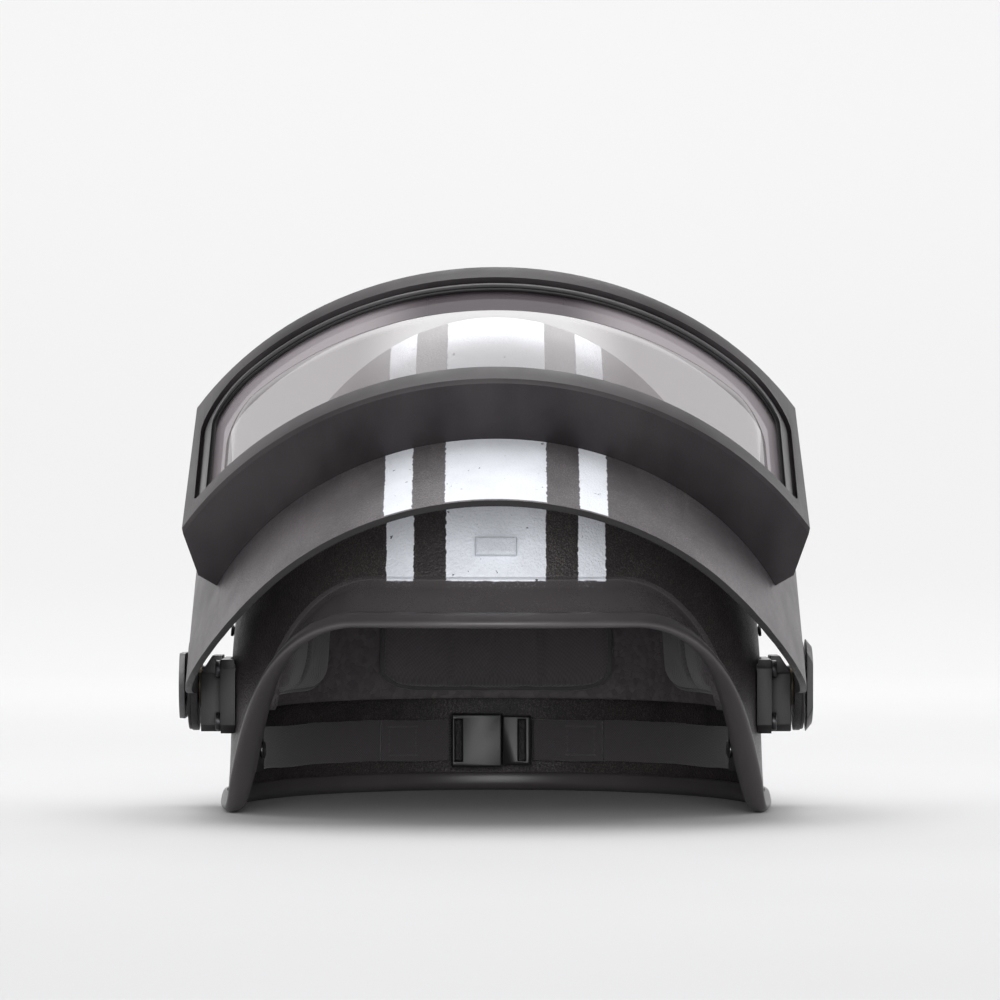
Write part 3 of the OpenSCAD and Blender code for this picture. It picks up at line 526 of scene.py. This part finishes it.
def woven(name, colour, thread, fuzz, source="Object", sheen=0.35):
    """Cloth: two sets of threads crossing at a pitch, one over the other in turn, with loose
    fibres from fine noise."""
    finish, tree, shader, where = new_finish(name, Specular_IOR_Level=0.2, Sheen_Weight=sheen,
                                             Sheen_Roughness=0.5)
    if source == "UV":
        where = tree.nodes.new("ShaderNodeUVMap").outputs[0]
    parts = node(tree, "SeparateXYZ", {"Vector": where})
    pitch = 2 * np.pi / (thread * MM)
    across = maths(tree, "SINE", both(tree, parts.outputs[0], pitch))
    second = parts.outputs[1] if source == "UV" else maths(
        tree, "ADD", parts.outputs[1], parts.outputs[2])
    along = maths(tree, "SINE", both(tree, second, pitch))
    height = both(tree, maths(tree, "ADD", both(tree, across, along), 1.0), 0.5)
    fibre = noise(tree, where, 2600, 3.0, 0.7)
    # Painted shade: the colour is darker where the threads dip, mixed with a random fibre tone
    shade = maths(tree, "ADD", both(tree, height, 0.6), both(tree, fibre, 0.4))
    fill_in(tree, shader, blend(tree, shade, scaled(colour, 0.78), scaled(colour, 1.25)),
            spread(tree, fibre, 0.75, 0.95), (height, thread * 0.16 * MM, 0.8),
            (fibre, fuzz * MM, 0.6))
    return finish


def window_finish(name):
    """Smoky window block. The piece's own attribute gives each point of its front face the
    distance in from the outline in metres: a darker border, a soft pale line where it ends, which
    is a painted highlight on the step's rounded edge, and a milky middle, which is a painted veil
    of reflection that greys towards the sides while the border lightens towards them. The back
    face only adds a faint haze."""
    finish, tree, shader, where = new_finish(name, Roughness=0.05, IOR=1.5,
                                             Specular_IOR_Level=0.6)
    margin = node(tree, "Attribute", attribute_name="margin").outputs["Fac"]
    first = (BORDER + 0.2) * MM
    inner = ramp(tree, margin, first, first + 1.6 * MM)
    # Painted highlight: a pale line where the step's rounded edge ends the border
    step_highlight = both(tree, ramp(tree, margin, first, first + 1.2 * MM),
                ramp(tree, margin, first + 5.2 * MM, first + 2.4 * MM))
    front = ramp(tree, margin, 0.0600, 0.0500)
    x = maths(tree, "ABSOLUTE", node(tree, "SeparateXYZ", {"Vector": where}).outputs[0])
    aside = ramp(tree, x, 0.028, 0.064)
    haze = noise(tree, where, 9, 2.0, 0.5)
    # Painted reflection: a milky veil over the middle that greys towards the sides, and a border
    # that lightens towards them
    milky_reflection = blend(tree, aside, srgb(184, 181, 183), srgb(118, 112, 115))
    edge = blend(tree, aside, srgb(74, 68, 72), srgb(146, 139, 143))
    colour = blend(tree, both(tree, step_highlight, 0.3), blend(tree, inner, edge, milky_reflection),
                   srgb(225, 223, 224))
    shade = blend(tree, haze, (0.9, 0.9, 0.9, 1), (1, 1, 1, 1))
    tinted = node(tree, "VectorMath", {0: colour, 1: shade}, operation="MULTIPLY").outputs[0]
    tree.links.new(tinted, shader.inputs["Base Color"])
    thin = both(tree, inner, maths(tree, "SUBTRACT", 0.52, both(tree, aside, 0.38)))
    full = maths(tree, "SUBTRACT", maths(tree, "SUBTRACT", 0.95, thin), both(tree, aside, 0.1))
    tree.links.new(maths(tree, "ADD", both(tree, full, front),
                         both(tree, maths(tree, "SUBTRACT", 1.0, front), 0.10)),
                   shader.inputs["Alpha"])
    return finish


# One white paint in two strengths: the plate's stripes get a dimmer white as painted shade
PLATE_WHITE_PAINTED_SHADE = srgb(206, 209, 215)
# Lighter grey of the painted sheen in the shell's cove
COVE_PAINTED_SHEEN = srgb(92, 88, 89)
# Near black of the painted shade on faces turned like the visor's chin edge, down and forward in
# the rest pose
EDGE_PAINTED_SHADE = srgb(34, 32, 33)
CHIN_SHADE_WAY = (0, -np.sin(RAISED), -np.cos(RAISED))
# Lifted white: painted light on the shell's stripes, much of which lie under the raised visor
CROWN_WHITE_PAINTED_LIGHT = srgb(240, 244, 251)
shell_paint = painted("shell_paint", srgb(45, 42, 43), srgb(98, 91, 89), 0.0012, 0.5, 0.4,
                      shell_stripes, CROWN_WHITE_PAINTED_LIGHT)
plate_paint = painted("plate_paint", srgb(70, 67, 69), srgb(114, 109, 112), 0.0009, 0.3, 0.46,
                      plate_stripes, PLATE_WHITE_PAINTED_SHADE, shade_way=CHIN_SHADE_WAY)
arm_paint = painted("arm_paint", srgb(70, 67, 69), srgb(116, 111, 114), 0.0009, 0.3, 0.46,
                    shade_way=CHIN_SHADE_WAY)
# The block's white is darker than the stripes' white: painted shade on its face
block_paint_shaded = painted("block_paint_shaded", srgb(216, 220, 227), srgb(188, 192, 200), 0.0010, 0.35, 0.5)
frame_moulding = moulded("frame_moulding", srgb(33, 30, 32), 0.48, 0.9, 0.06, 0.36, 2.2, 0.2)
bezel_moulding = moulded("bezel_moulding", srgb(72, 71, 72), 0.42)
trim_rubber = moulded("trim_rubber", srgb(70, 67, 68), 0.38, 0.6, 0.04, 0.55)
gasket_rubber = moulded("gasket_rubber", srgb(26, 25, 26), 0.6, 0.4, 0.03)
bracket_paint = moulded("bracket_paint", srgb(30, 28, 30), 0.42, 0.9, 0.08, 0.38)
knob_paint = moulded("knob_paint", srgb(42, 40, 42), 0.4, 0.9, 0.08, 0.42)
spacer_plastic = moulded("spacer_plastic", srgb(40, 39, 40), 0.5)
buckle_plastic = moulded("buckle_plastic", srgb(34, 34, 35), 0.35)
anchor_paint = moulded("anchor_paint", srgb(60, 60, 60), 0.4)
screw_steel = metal("screw_steel", srgb(74, 74, 76), 0.4)
pin_steel = metal("pin_steel", srgb(150, 150, 152), 0.28)
washer_brass = metal("washer_brass", srgb(104, 96, 82), 0.4)
liner_foam = foam("liner_foam", srgb(92, 88, 90))
pad_fabric = woven("pad_fabric", srgb(96, 92, 94), 1.8, 0.05)
strap_webbing = woven("strap_webbing", srgb(78, 75, 77), 1.3, 0.04, source="UV")
thread = woven("thread", srgb(84, 82, 83), 0.5, 0.02)
window_smoke = window_finish("window_smoke")


# Shell and trim
SHELL_COLS, SHELL_ROWS, SHELL_INNER = 384, 104, 36
shell_skin = dressed(put_mesh("shell_skin", *bowl(rim_z, 0, WALL, SHELL_COLS, SHELL_ROWS,
                                                  SHELL_INNER, FLARE_H)),
                     "helmet", "shell_paint", shell_paint, "shell")
outside = np.repeat([1.0, 0.0, 1.0, 0.0],
                    [SHELL_COLS * SHELL_ROWS, SHELL_COLS * SHELL_INNER, 1, 1])
marked(shell_skin, "outside", outside)
skin_phi = np.arange(SHELL_COLS) * 360 / SHELL_COLS
# The cove under the brow's crease, in front: smooth and glossier, and lightened in its finish as
# painted sheen
cove = np.zeros((SHELL_ROWS, SHELL_COLS))
cove[:SHELL_ROWS // 4] = np.clip((brow_share(skin_phi) - 0.4) / 0.4, 0, 1)
cove = np.concatenate([cove.ravel(), np.zeros(SHELL_COLS * SHELL_INNER + 2)])
marked(shell_skin, "cove", cove)


def bead_section():
    """Section of the edge trim: a half ellipse round the shell's edge, two lips with round
    ends, and the groove that the shell sits in."""
    a = np.linspace(0, np.pi, 25)
    nose = np.stack([-NOSE * np.sin(a) * 0.995, WALL / 2 - (WALL / 2 + LAP) * np.cos(a)], 1)
    lip = np.array([[2.6, 6.75], [3.9, 6.4], [4.65, 5.9], [4.98, 5.2], [4.9, 4.5], [4.5, 4.12]])
    inner = lip * [1, -1] + [0, WALL]
    groove = np.array([[2, 4.1], [0, 4.1], [-0.15, 3.9], [-0.15, 2], [-0.15, 0.1], [0, -0.1],
                       [2, -0.1]])
    return np.vstack([nose, lip, groove, inner[::-1]])


dressed(put_mesh("edge_bead", *sweep(trim_rings(along_rim(720), bead_section()), closed=True)),
        "helmet", "trim_rubber", trim_rubber, "edge_trim")


# Liner and pads
dressed(put_mesh("liner_shell", *bowl(liner_z, LINER_OUT, LINER_IN, 240, 60, 60)),
        "helmet", "liner_foam", liner_foam, "liner_bowl")


def depth_of(points):
    """Depth below the shell's outer face: the depth whose ellipsoid (ellipse below the dome)
    passes through the point, found by stepping along the ray from its middle. Also gives the
    direction inward, square to that surface."""
    away = points - [0, DOME_Y, WALL_Z]
    away[:, 2] = np.maximum(away[:, 2], 0)
    axes = np.stack([np.full(len(away), HALF_W), np.where(away[:, 1] < 0, FRONT, REAR),
                     np.full(len(away), DOME_H)], 1)
    depth = np.full(len(away), PAD_BACK)
    for _ in range(6):
        share = np.linalg.norm(away / (axes - depth[:, None]), axis=1)
        depth += np.linalg.norm(away, axis=1) * (1 / share - 1) * 0.9
    inward = -away / (axes - depth[:, None]) ** 2
    return depth, inward / np.linalg.norm(inward, axis=1, keepdims=True)


def evened(piece, size):
    """The mesh of a piece, remeshed in even quads of a size in millimetres. The piece goes."""
    grid = piece.modifiers.new("even", "REMESH")
    grid.mode = "VOXEL"
    grid.voxel_size = size * MM
    mesh = as_shown(piece)
    bpy.data.objects.remove(piece)
    return mesh


def coords(mesh):
    """A mesh's points in millimetres."""
    flat = np.empty(len(mesh.vertices) * 3)
    mesh.vertices.foreach_get("co", flat)
    return flat.reshape(-1, 3) / MM


def swollen(name, shape, seams):
    """A pad blown up as cloth. The side on the liner is held, pressure swells the rest for 20
    steps without gravity, and no point ends further than SWELL from where it began. Then the
    sewn channels are pressed in: near a seam the cover stands less far from the liner, by a
    bell curve of the distance along the skin."""
    mesh = evened(put_mesh(name, *shape), 3.0)
    mesh.name = name
    piece = placed(name, mesh)
    start = coords(mesh)
    held = piece.vertex_groups.new(name="held")
    held.add(np.flatnonzero(depth_of(start)[0] < PAD_BACK + 2.4).tolist(), 1.0, "REPLACE")
    cloth = piece.modifiers.new("cover", "CLOTH")
    cloth.settings.quality = 5
    cloth.settings.mass = 0.3
    cloth.settings.vertex_group_mass = "held"
    cloth.settings.use_pressure = True
    cloth.settings.uniform_pressure_force = 4.0
    cloth.settings.effector_weights.gravity = 0.0
    for step in range(1, 21):
        bpy.context.scene.frame_set(step)
    blown = as_shown(piece)
    move = coords(blown) - start
    far = np.linalg.norm(move, axis=1, keepdims=True)
    start = start + move * np.minimum(1, SWELL / np.maximum(far, 1e-6))
    piece.modifiers.clear()
    bpy.context.scene.frame_set(1)
    bpy.data.meshes.remove(blown)
    depth, inward = depth_of(start)
    phi = np.degrees(np.arctan2(start[:, 0] / HALF_W, -(start[:, 1] - DOME_Y) / FRONT))
    flat = np.hypot(start[:, 0], start[:, 1] - DOME_Y)
    bell = np.zeros(len(start))
    for seam in seams:
        off = (phi - seam + 180) % 360 - 180
        bell = np.maximum(bell, np.exp(-(np.radians(off) * flat / 2.0) ** 2))
    height = np.clip(depth - PAD_BACK - 2.5, 0, None)
    start = start - inward * (height * 0.3 * bell)[:, None]
    depth, inward = depth_of(start)
    start = start + inward * np.clip(PAD_BACK - depth, 0, None)[:, None]
    mesh.vertices.foreach_set("co", (start * MM).ravel())
    smoothed(mesh)
    mesh.update()
    finer = piece.modifiers.new("finer", "SUBSURF")
    finer.levels = finer.render_levels = 1
    return piece


def squircle(u, v):
    """A square's parameters drawn in at the corners, so that its outline is a rounded square."""
    return u * np.sqrt(1 - 0.22 * v ** 8), v * np.sqrt(1 - 0.22 * u ** 8)


def pad_faces(phi, w, full):
    """Front and back of a pad where it has a share of its full thickness."""
    return (skin(phi, w, PAD_BACK + PAD_SEAM + (PAD_T - PAD_SLACK) * full),
            skin(phi, w, PAD_BACK + PAD_RIM - 0.8 * np.minimum(full * 3, 1)))


def pad(phi_a, phi_b, z_a, z_b, cols=84, rows=44):
    """Comfort pad on the liner: a crowned front over a flat back. The thickness is the product
    of two rounded profiles, each one minus the parameter to the fourth, to a power below one,
    so the sides stand full and the edges turn in to a seam."""
    u = np.sin(np.linspace(-np.pi / 2, np.pi / 2, cols))[None, :] * np.ones((rows, 1))
    v = np.sin(np.linspace(-np.pi / 2, np.pi / 2, rows))[:, None] * np.ones((1, cols))
    a, b = squircle(u, v)
    phi = (phi_a + phi_b) / 2 + (phi_b - phi_a) / 2 * a
    w = arc_of((z_a + z_b) / 2 + (z_b - z_a) / 2 * b)
    full = (np.clip(1 - u ** 4, 0, 1) ** 0.42) * (np.clip(1 - v ** 4, 0, 1) ** 0.42)
    return slab(*pad_faces(phi, w, full))


def crown_pad(cols=120, rows=34):
    """The crown pad: the same profile carried round the crown, from the middle to the edge."""
    phi = np.arange(cols) * 360 / cols
    t = np.sin(np.linspace(0.02, np.pi / 2, rows))[:, None]
    w = DOME_ARC - (DOME_ARC - arc_of(CROWN_PAD_Z)) * t
    full = np.clip(1 - t ** 6, 0, 1) ** 0.42
    front, back = pad_faces(phi[None, :], w, full)
    return sweep(np.concatenate([front, back[::-1]]))


def piping(phi, w, radius=1.2):
    """Sewn cord round a pad's edge: a circle carried along the closed outline, its axes square
    to the run and to the liner."""
    middle = skin(phi, w, PAD_BACK + PIPING_AT)
    run = np.roll(middle, -1, axis=0) - np.roll(middle, 1, axis=0)
    run /= np.linalg.norm(run, axis=1, keepdims=True)
    inward = depth_of(middle)[1]
    across = np.cross(run, inward)
    a = np.linspace(0, 2 * np.pi, 13)[:-1][None, :, None]
    rings = middle[:, None] + radius * (np.cos(a) * inward[:, None] + np.sin(a) * across[:, None])
    return sweep(rings, closed=True)


def pad_edge(phi_a, phi_b, z_a, z_b, count=80):
    """Angles and arc heights round a pad's outline, side by side."""
    t = np.sin(np.linspace(-np.pi / 2, np.pi / 2, count))[:-1]
    one = np.ones(count - 1)
    a, b = squircle(np.concatenate([t, one, -t, -one]), np.concatenate([-one, t, one, -t]))
    return ((phi_a + phi_b) / 2 + (phi_b - phi_a) / 2 * a,
            arc_of((z_a + z_b) / 2 + (z_b - z_a) / 2 * b))


round_phi = np.arange(240) * 1.5
for node_name, reach, seams in (
        ("brow_pad", (-39, 39, 117.0, 145.0), (-20, 0, 20)),
        ("nape_pad", (147, 213, 51.0, 99.0), (169, 180, 191)),
        ("side_pad_left", (83, 125, 53.0, 103.0), (104,)),
        ("side_pad_right", (235, 277, 53.0, 103.0), (256,)),
        ("crown_pad", None, range(0, 360, 60))):
    shape = (*pad(*reach), ()) if reach else crown_pad()
    edge = pad_edge(*reach) if reach else (round_phi, arc_of(np.full(240, CROWN_PAD_Z)))
    cushion = dressed(swollen(node_name + "_cloth", shape, seams), "helmet", "pad_fabric",
                      pad_fabric, node_name)
    dressed(put_mesh(node_name + "_piping", *piping(*edge)), "helmet", "pad_fabric", thread)


# Chin strap
def ribbon(phi, depth, name, mirror=False):
    """Webbing laid on the wall's inside: a flat section with round edges carried along the
    angles at a depth, with its length and width in millimetres as its texture map."""
    a = np.linspace(0, 2 * np.pi, 29)[:-1]
    across = STRAP_HALF * np.sign(np.cos(a)) * np.abs(np.cos(a)) ** 0.35
    thick = STRAP_T / 2 * np.sign(np.sin(a)) * np.abs(np.sin(a)) ** 0.5
    sway = 0.25 * np.sin(phi / 7.0) + 0.15 * np.sin(phi / 2.9)
    rings = skin(phi[:, None], arc_of(STRAP_Z + across[None, :] + sway[:, None]),
                 (depth + STRAP_T / 2) + thick[None, :])
    if mirror:
        rings = rings * [-1, 1, 1]
    piece = put_mesh(name, *sweep(rings))
    run = np.concatenate([[0], np.cumsum(np.linalg.norm(
        np.diff(rings.mean(axis=1), axis=0), axis=1))]) * MM
    flat = np.stack([np.repeat(run, len(a)), np.tile(across * MM, len(phi))], 1)
    flat = np.vstack([flat, [[run[0], 0], [run[-1], 0]]])
    corner = np.empty(len(piece.data.loops), np.int64)
    piece.data.loops.foreach_get("vertex_index", corner)
    piece.data.uv_layers.new(name="UVMap").data.foreach_set("uv", flat[corner].ravel())
    return piece


def stitches(start, end, depth, mirror):
    """Sewn box: short threads along two rows and two crossing ends, each a stretched ball laid
    on the webbing with its length along the row."""
    turn = np.linspace(start, end, 9)
    rows = [(p, STRAP_Z + s * 7.0, 0.0) for s in (-1, 1) for p in turn]
    ends = [(p, STRAP_Z + z, 90.0) for p in (start, end) for z in np.linspace(-4.5, 4.5, 4)]
    spot = np.array(rows + ends)
    middle = skin(spot[:, 0], arc_of(spot[:, 1]), depth)
    along = skin(spot[:, 0] + 0.5, arc_of(spot[:, 1]), depth) - middle
    along /= np.linalg.norm(along, axis=1, keepdims=True)
    up = np.array([0.0, 0.0, 1.0])
    inward = np.cross(along, up)
    lie = np.radians(spot[:, 2])[:, None]
    length = np.cos(lie) * along + np.sin(lie) * up
    width = np.cross(inward, length)
    u = np.linspace(0, np.pi, 7)[:, None]
    v = np.linspace(0, 2 * np.pi, 9)[:-1][None, :]
    ball = [1.1 * np.cos(u) * np.ones_like(v), 0.38 * np.sin(u) * np.cos(v),
            0.3 * np.sin(u) * np.sin(v)]
    rings = sum(axis[:, None, None, :] * part[None, :, :, None]
                for axis, part in zip((length, width, inward), ball)) + middle[:, None, None, :]
    if mirror:
        rings = rings * [-1, 1, 1]
    one = grid_quads(7, 8, wrap_cols=True)
    quads = (one[None] + (np.arange(len(spot)) * 56)[:, None, None]).reshape(-1, 4)
    return rings.reshape(-1, 3), quads


for side, end, name in ((False, PLUG_TURN, "strap_left"), (True, SOCKET_TURN, "strap_right")):
    dressed(ribbon(np.linspace(ANCHOR_TURN, end, 150), STRAP_DEPTH, name + "_web", side),
            "helmet", "webbing", strap_webbing, name)
    dressed(ribbon(np.linspace(end - 18, end - 0.6, 60), FOLD_DEPTH, name + "_fold", side),
            "helmet", "webbing", strap_webbing)
    dressed(put_mesh(name + "_stitches", *stitches(end - 16, end - 9, FOLD_DEPTH + STRAP_T + 0.1,
                                                   side)), "helmet", "webbing", thread)

# Hard parts whose shape comes from the frame
for name, radius, finish in (
        ("visor_plate", 0.5, plate_paint),
        ("brow_block", 0.9, block_paint_shaded),
        ("window_frame", 1.5, frame_moulding),
        ("window_bezel", 0.3, bezel_moulding),
        ("window_gasket", 0.2, gasket_rubber),
        ("hinge_plate_left", 0.4, arm_paint),
        ("hinge_plate_right", 0.4, arm_paint),
        ("hinge_block_left", 0.8, bracket_paint),
        ("hinge_block_right", 0.8, bracket_paint),
        ("base_plate_left", 0.5, bracket_paint),
        ("base_plate_right", 0.5, bracket_paint),
        ("knob_left", 0.6, knob_paint),
        ("knob_right", 0.6, knob_paint),
        ("buckle_plug", 0.8, buckle_plastic),
        ("buckle_socket", 1.0, buckle_plastic),
        ("strap_anchors", 0.4, anchor_paint),
        ("pivot_pin_left", 0.25, pin_steel),
        ("pivot_pin_right", 0.25, pin_steel),
        ("anchor_rivets", 0.5, pin_steel),
        ("bracket_screws", 0.4, screw_steel),
        ("bracket_nuts", 0.3, screw_steel),
        ("frame_screws", 0.3, screw_steel),
        ("liner_spacers", 0.3, spacer_plastic)):
    edged(name, radius, finish)
for name, finish in (("stop_pegs", pin_steel), ("inner_washers", washer_brass),
                     ("outer_washers", screw_steel)):
    part = frame["nodes"][name]
    part.data.materials.clear()
    part.data.materials.append(finish)


# Window
def inset(x, z, corner, above):
    """Distance in from the window's outline at the sides and top, round at the corners. The
    distance from the top counts by a share, so that a border of one width is wider there."""
    side, top = WIN_HALF - PANE_GAP - np.abs(x), (WIN_HI - PANE_GAP - z) * above
    round_in = corner - np.hypot(np.maximum(corner - side, 0), np.maximum(corner - top, 0))
    return np.where((side < corner) & (top < corner), round_in, np.minimum(side, top))


def pane(cols=280, rows=110):
    """The window block: a grid across the outline on the frame's drum, its front drawn back by
    a small step along the border so that the middle stands proud with a rounded edge."""
    v = np.linspace(0, 1, rows)
    corner = WIN_ROUND - PANE_GAP
    z = WIN_LO + PANE_GAP + (WIN_HI - WIN_LO - 2 * PANE_GAP) * (1 - (1 - v) ** 1.5)
    over = np.clip(z - (WIN_HI - WIN_ROUND), 0, corner)
    half = WIN_HALF - PANE_GAP - corner + np.sqrt(corner ** 2 - over ** 2)
    u = np.sin(np.linspace(-1, 1, cols) * np.pi / 2 * 0.92) / np.sin(np.pi / 2 * 0.92)
    x = half[:, None] * u[None, :]
    z = z[:, None] + 0 * x
    margin = inset(x, z, PANE_CORNER, 0.48)
    t = np.clip((margin - BORDER) / BORDER_END, 0, 1)
    step = PANE_STEP * (1 - t * t * (3 - 2 * t))
    sides = [np.stack([x, -(FRAME_FWD + np.sqrt((FRAME_R - depth) ** 2 - x * x)), z], -1)
             for depth in (PANE_FRONT + 0.05 + step, np.full_like(x, PANE_BACK - 0.1))]
    back = np.full(x.size, BACK_FACE)
    return (*slab(raised(sides[0]), raised(sides[1])), np.concatenate([margin.ravel(), back]) * MM)


points, quads, margin = pane()
glazing = dressed(put_mesh("window_block", points, quads), "visor", "window", window_smoke,
                  "window_pane")
marked(glazing, "margin", margin)


# Studio
def sweep_floor():
    """Pale paper: level under the helmet, turning up on a wide quarter round well behind it."""
    bend, start = 900, 1800
    a = np.linspace(0, np.pi / 2, 24)
    y = np.concatenate([[-4000], np.linspace(-1500, start, 12), start + bend * np.sin(a[1:]),
                        [start + bend]])
    z = np.concatenate([[0], np.zeros(12), bend - bend * np.cos(a[1:]), [5000]])
    x = np.linspace(-4500, 4500, 9)
    grid = np.stack(np.broadcast_arrays(x[None, :], y[:, None], z[:, None]), -1)
    return grid.reshape(-1, 3), grid_quads(len(y), len(x))


paper, tree, shader, where = new_finish("studio_paper", Roughness=0.9, Specular_IOR_Level=0.1)
place = node(tree, "SeparateXYZ", {"Vector": where})
wall = ramp(tree, place.outputs[1], 0.6, 2.1)
mottling = noise(tree, where, 3.0)
tree.links.new(blend(tree, wall, blend(tree, mottling, srgb(186, 186, 187), srgb(190, 190, 191)),
                     srgb(150, 150, 150)), shader.inputs["Base Color"])
shader.inputs["Emission Color"].default_value = (1.0, 1.0, 1.0, 1.0)
higher = ramp(tree, place.outputs[2], 0.1, 0.6)
glow = maths(tree, "ADD", both(tree, wall, 0.58), both(tree, higher, 0.05))
tree.links.new(glow, shader.inputs["Emission Strength"])
floor = put_mesh("studio_floor", *sweep_floor())
floor.data.materials.append(paper)


def softbox(name, place, aim, size, power):
    """Square area light at a place in metres, facing a point."""
    lamp = bpy.data.lights.new(name, "AREA")
    lamp.size, lamp.energy = size, power
    holder = placed(name, lamp)
    away = np.array(place, float) - np.array(aim, float)
    flat = np.hypot(away[0], away[1])
    holder.location = place
    holder.rotation_euler = (np.arctan2(flat, away[2]), 0, np.arctan2(away[0], -away[1]))


for name, place, aim_z, size, power in (
        ("top_box", (0.0, -0.05, 1.7), 0.1, 1.4, 26),
        ("left_box", (-1.7, 0.8, 0.7), 0.12, 1.1, 12),
        ("right_box", (1.7, 0.8, 0.7), 0.12, 1.1, 12),
        ("front_box", (0.0, -2.2, 1.1), 0.1, 1.3, 10),
        ("low_box", (0.0, -2.6, 0.2), 0.12, 1.3, 38),
        ("rear_box", (0.0, 1.6, 1.1), 0.22, 0.9, 9)):
    softbox(name, place, (0, 0, aim_z), size, power)

world = bpy.data.worlds.new("studio_air")
bpy.context.scene.world = world
world.use_nodes = True
world.node_tree.nodes["Background"].inputs[0].default_value = (1.0, 1.0, 1.0, 1.0)
world.node_tree.nodes["Background"].inputs[1].default_value = 0.55
bpy.context.scene.view_settings.view_transform = "Standard"

# The photograph's camera: level, far off and just above the brow
EYE_X, EYE_BACK, EYE_Z, LENS = 1.8, 2500.0, 143.0, 193.5
lens = bpy.data.cameras.new("photo_camera")
lens.sensor_width, lens.lens = 36.0, LENS
lens.clip_start, lens.clip_end = 0.1, 20.0
eye = placed("photo_camera", lens)
eye.location = (EYE_X * MM, (HINGE_Y - EYE_BACK) * MM, EYE_Z * MM)
eye.rotation_euler = (np.pi / 2, 0, 0)
bpy.context.scene.camera = eye
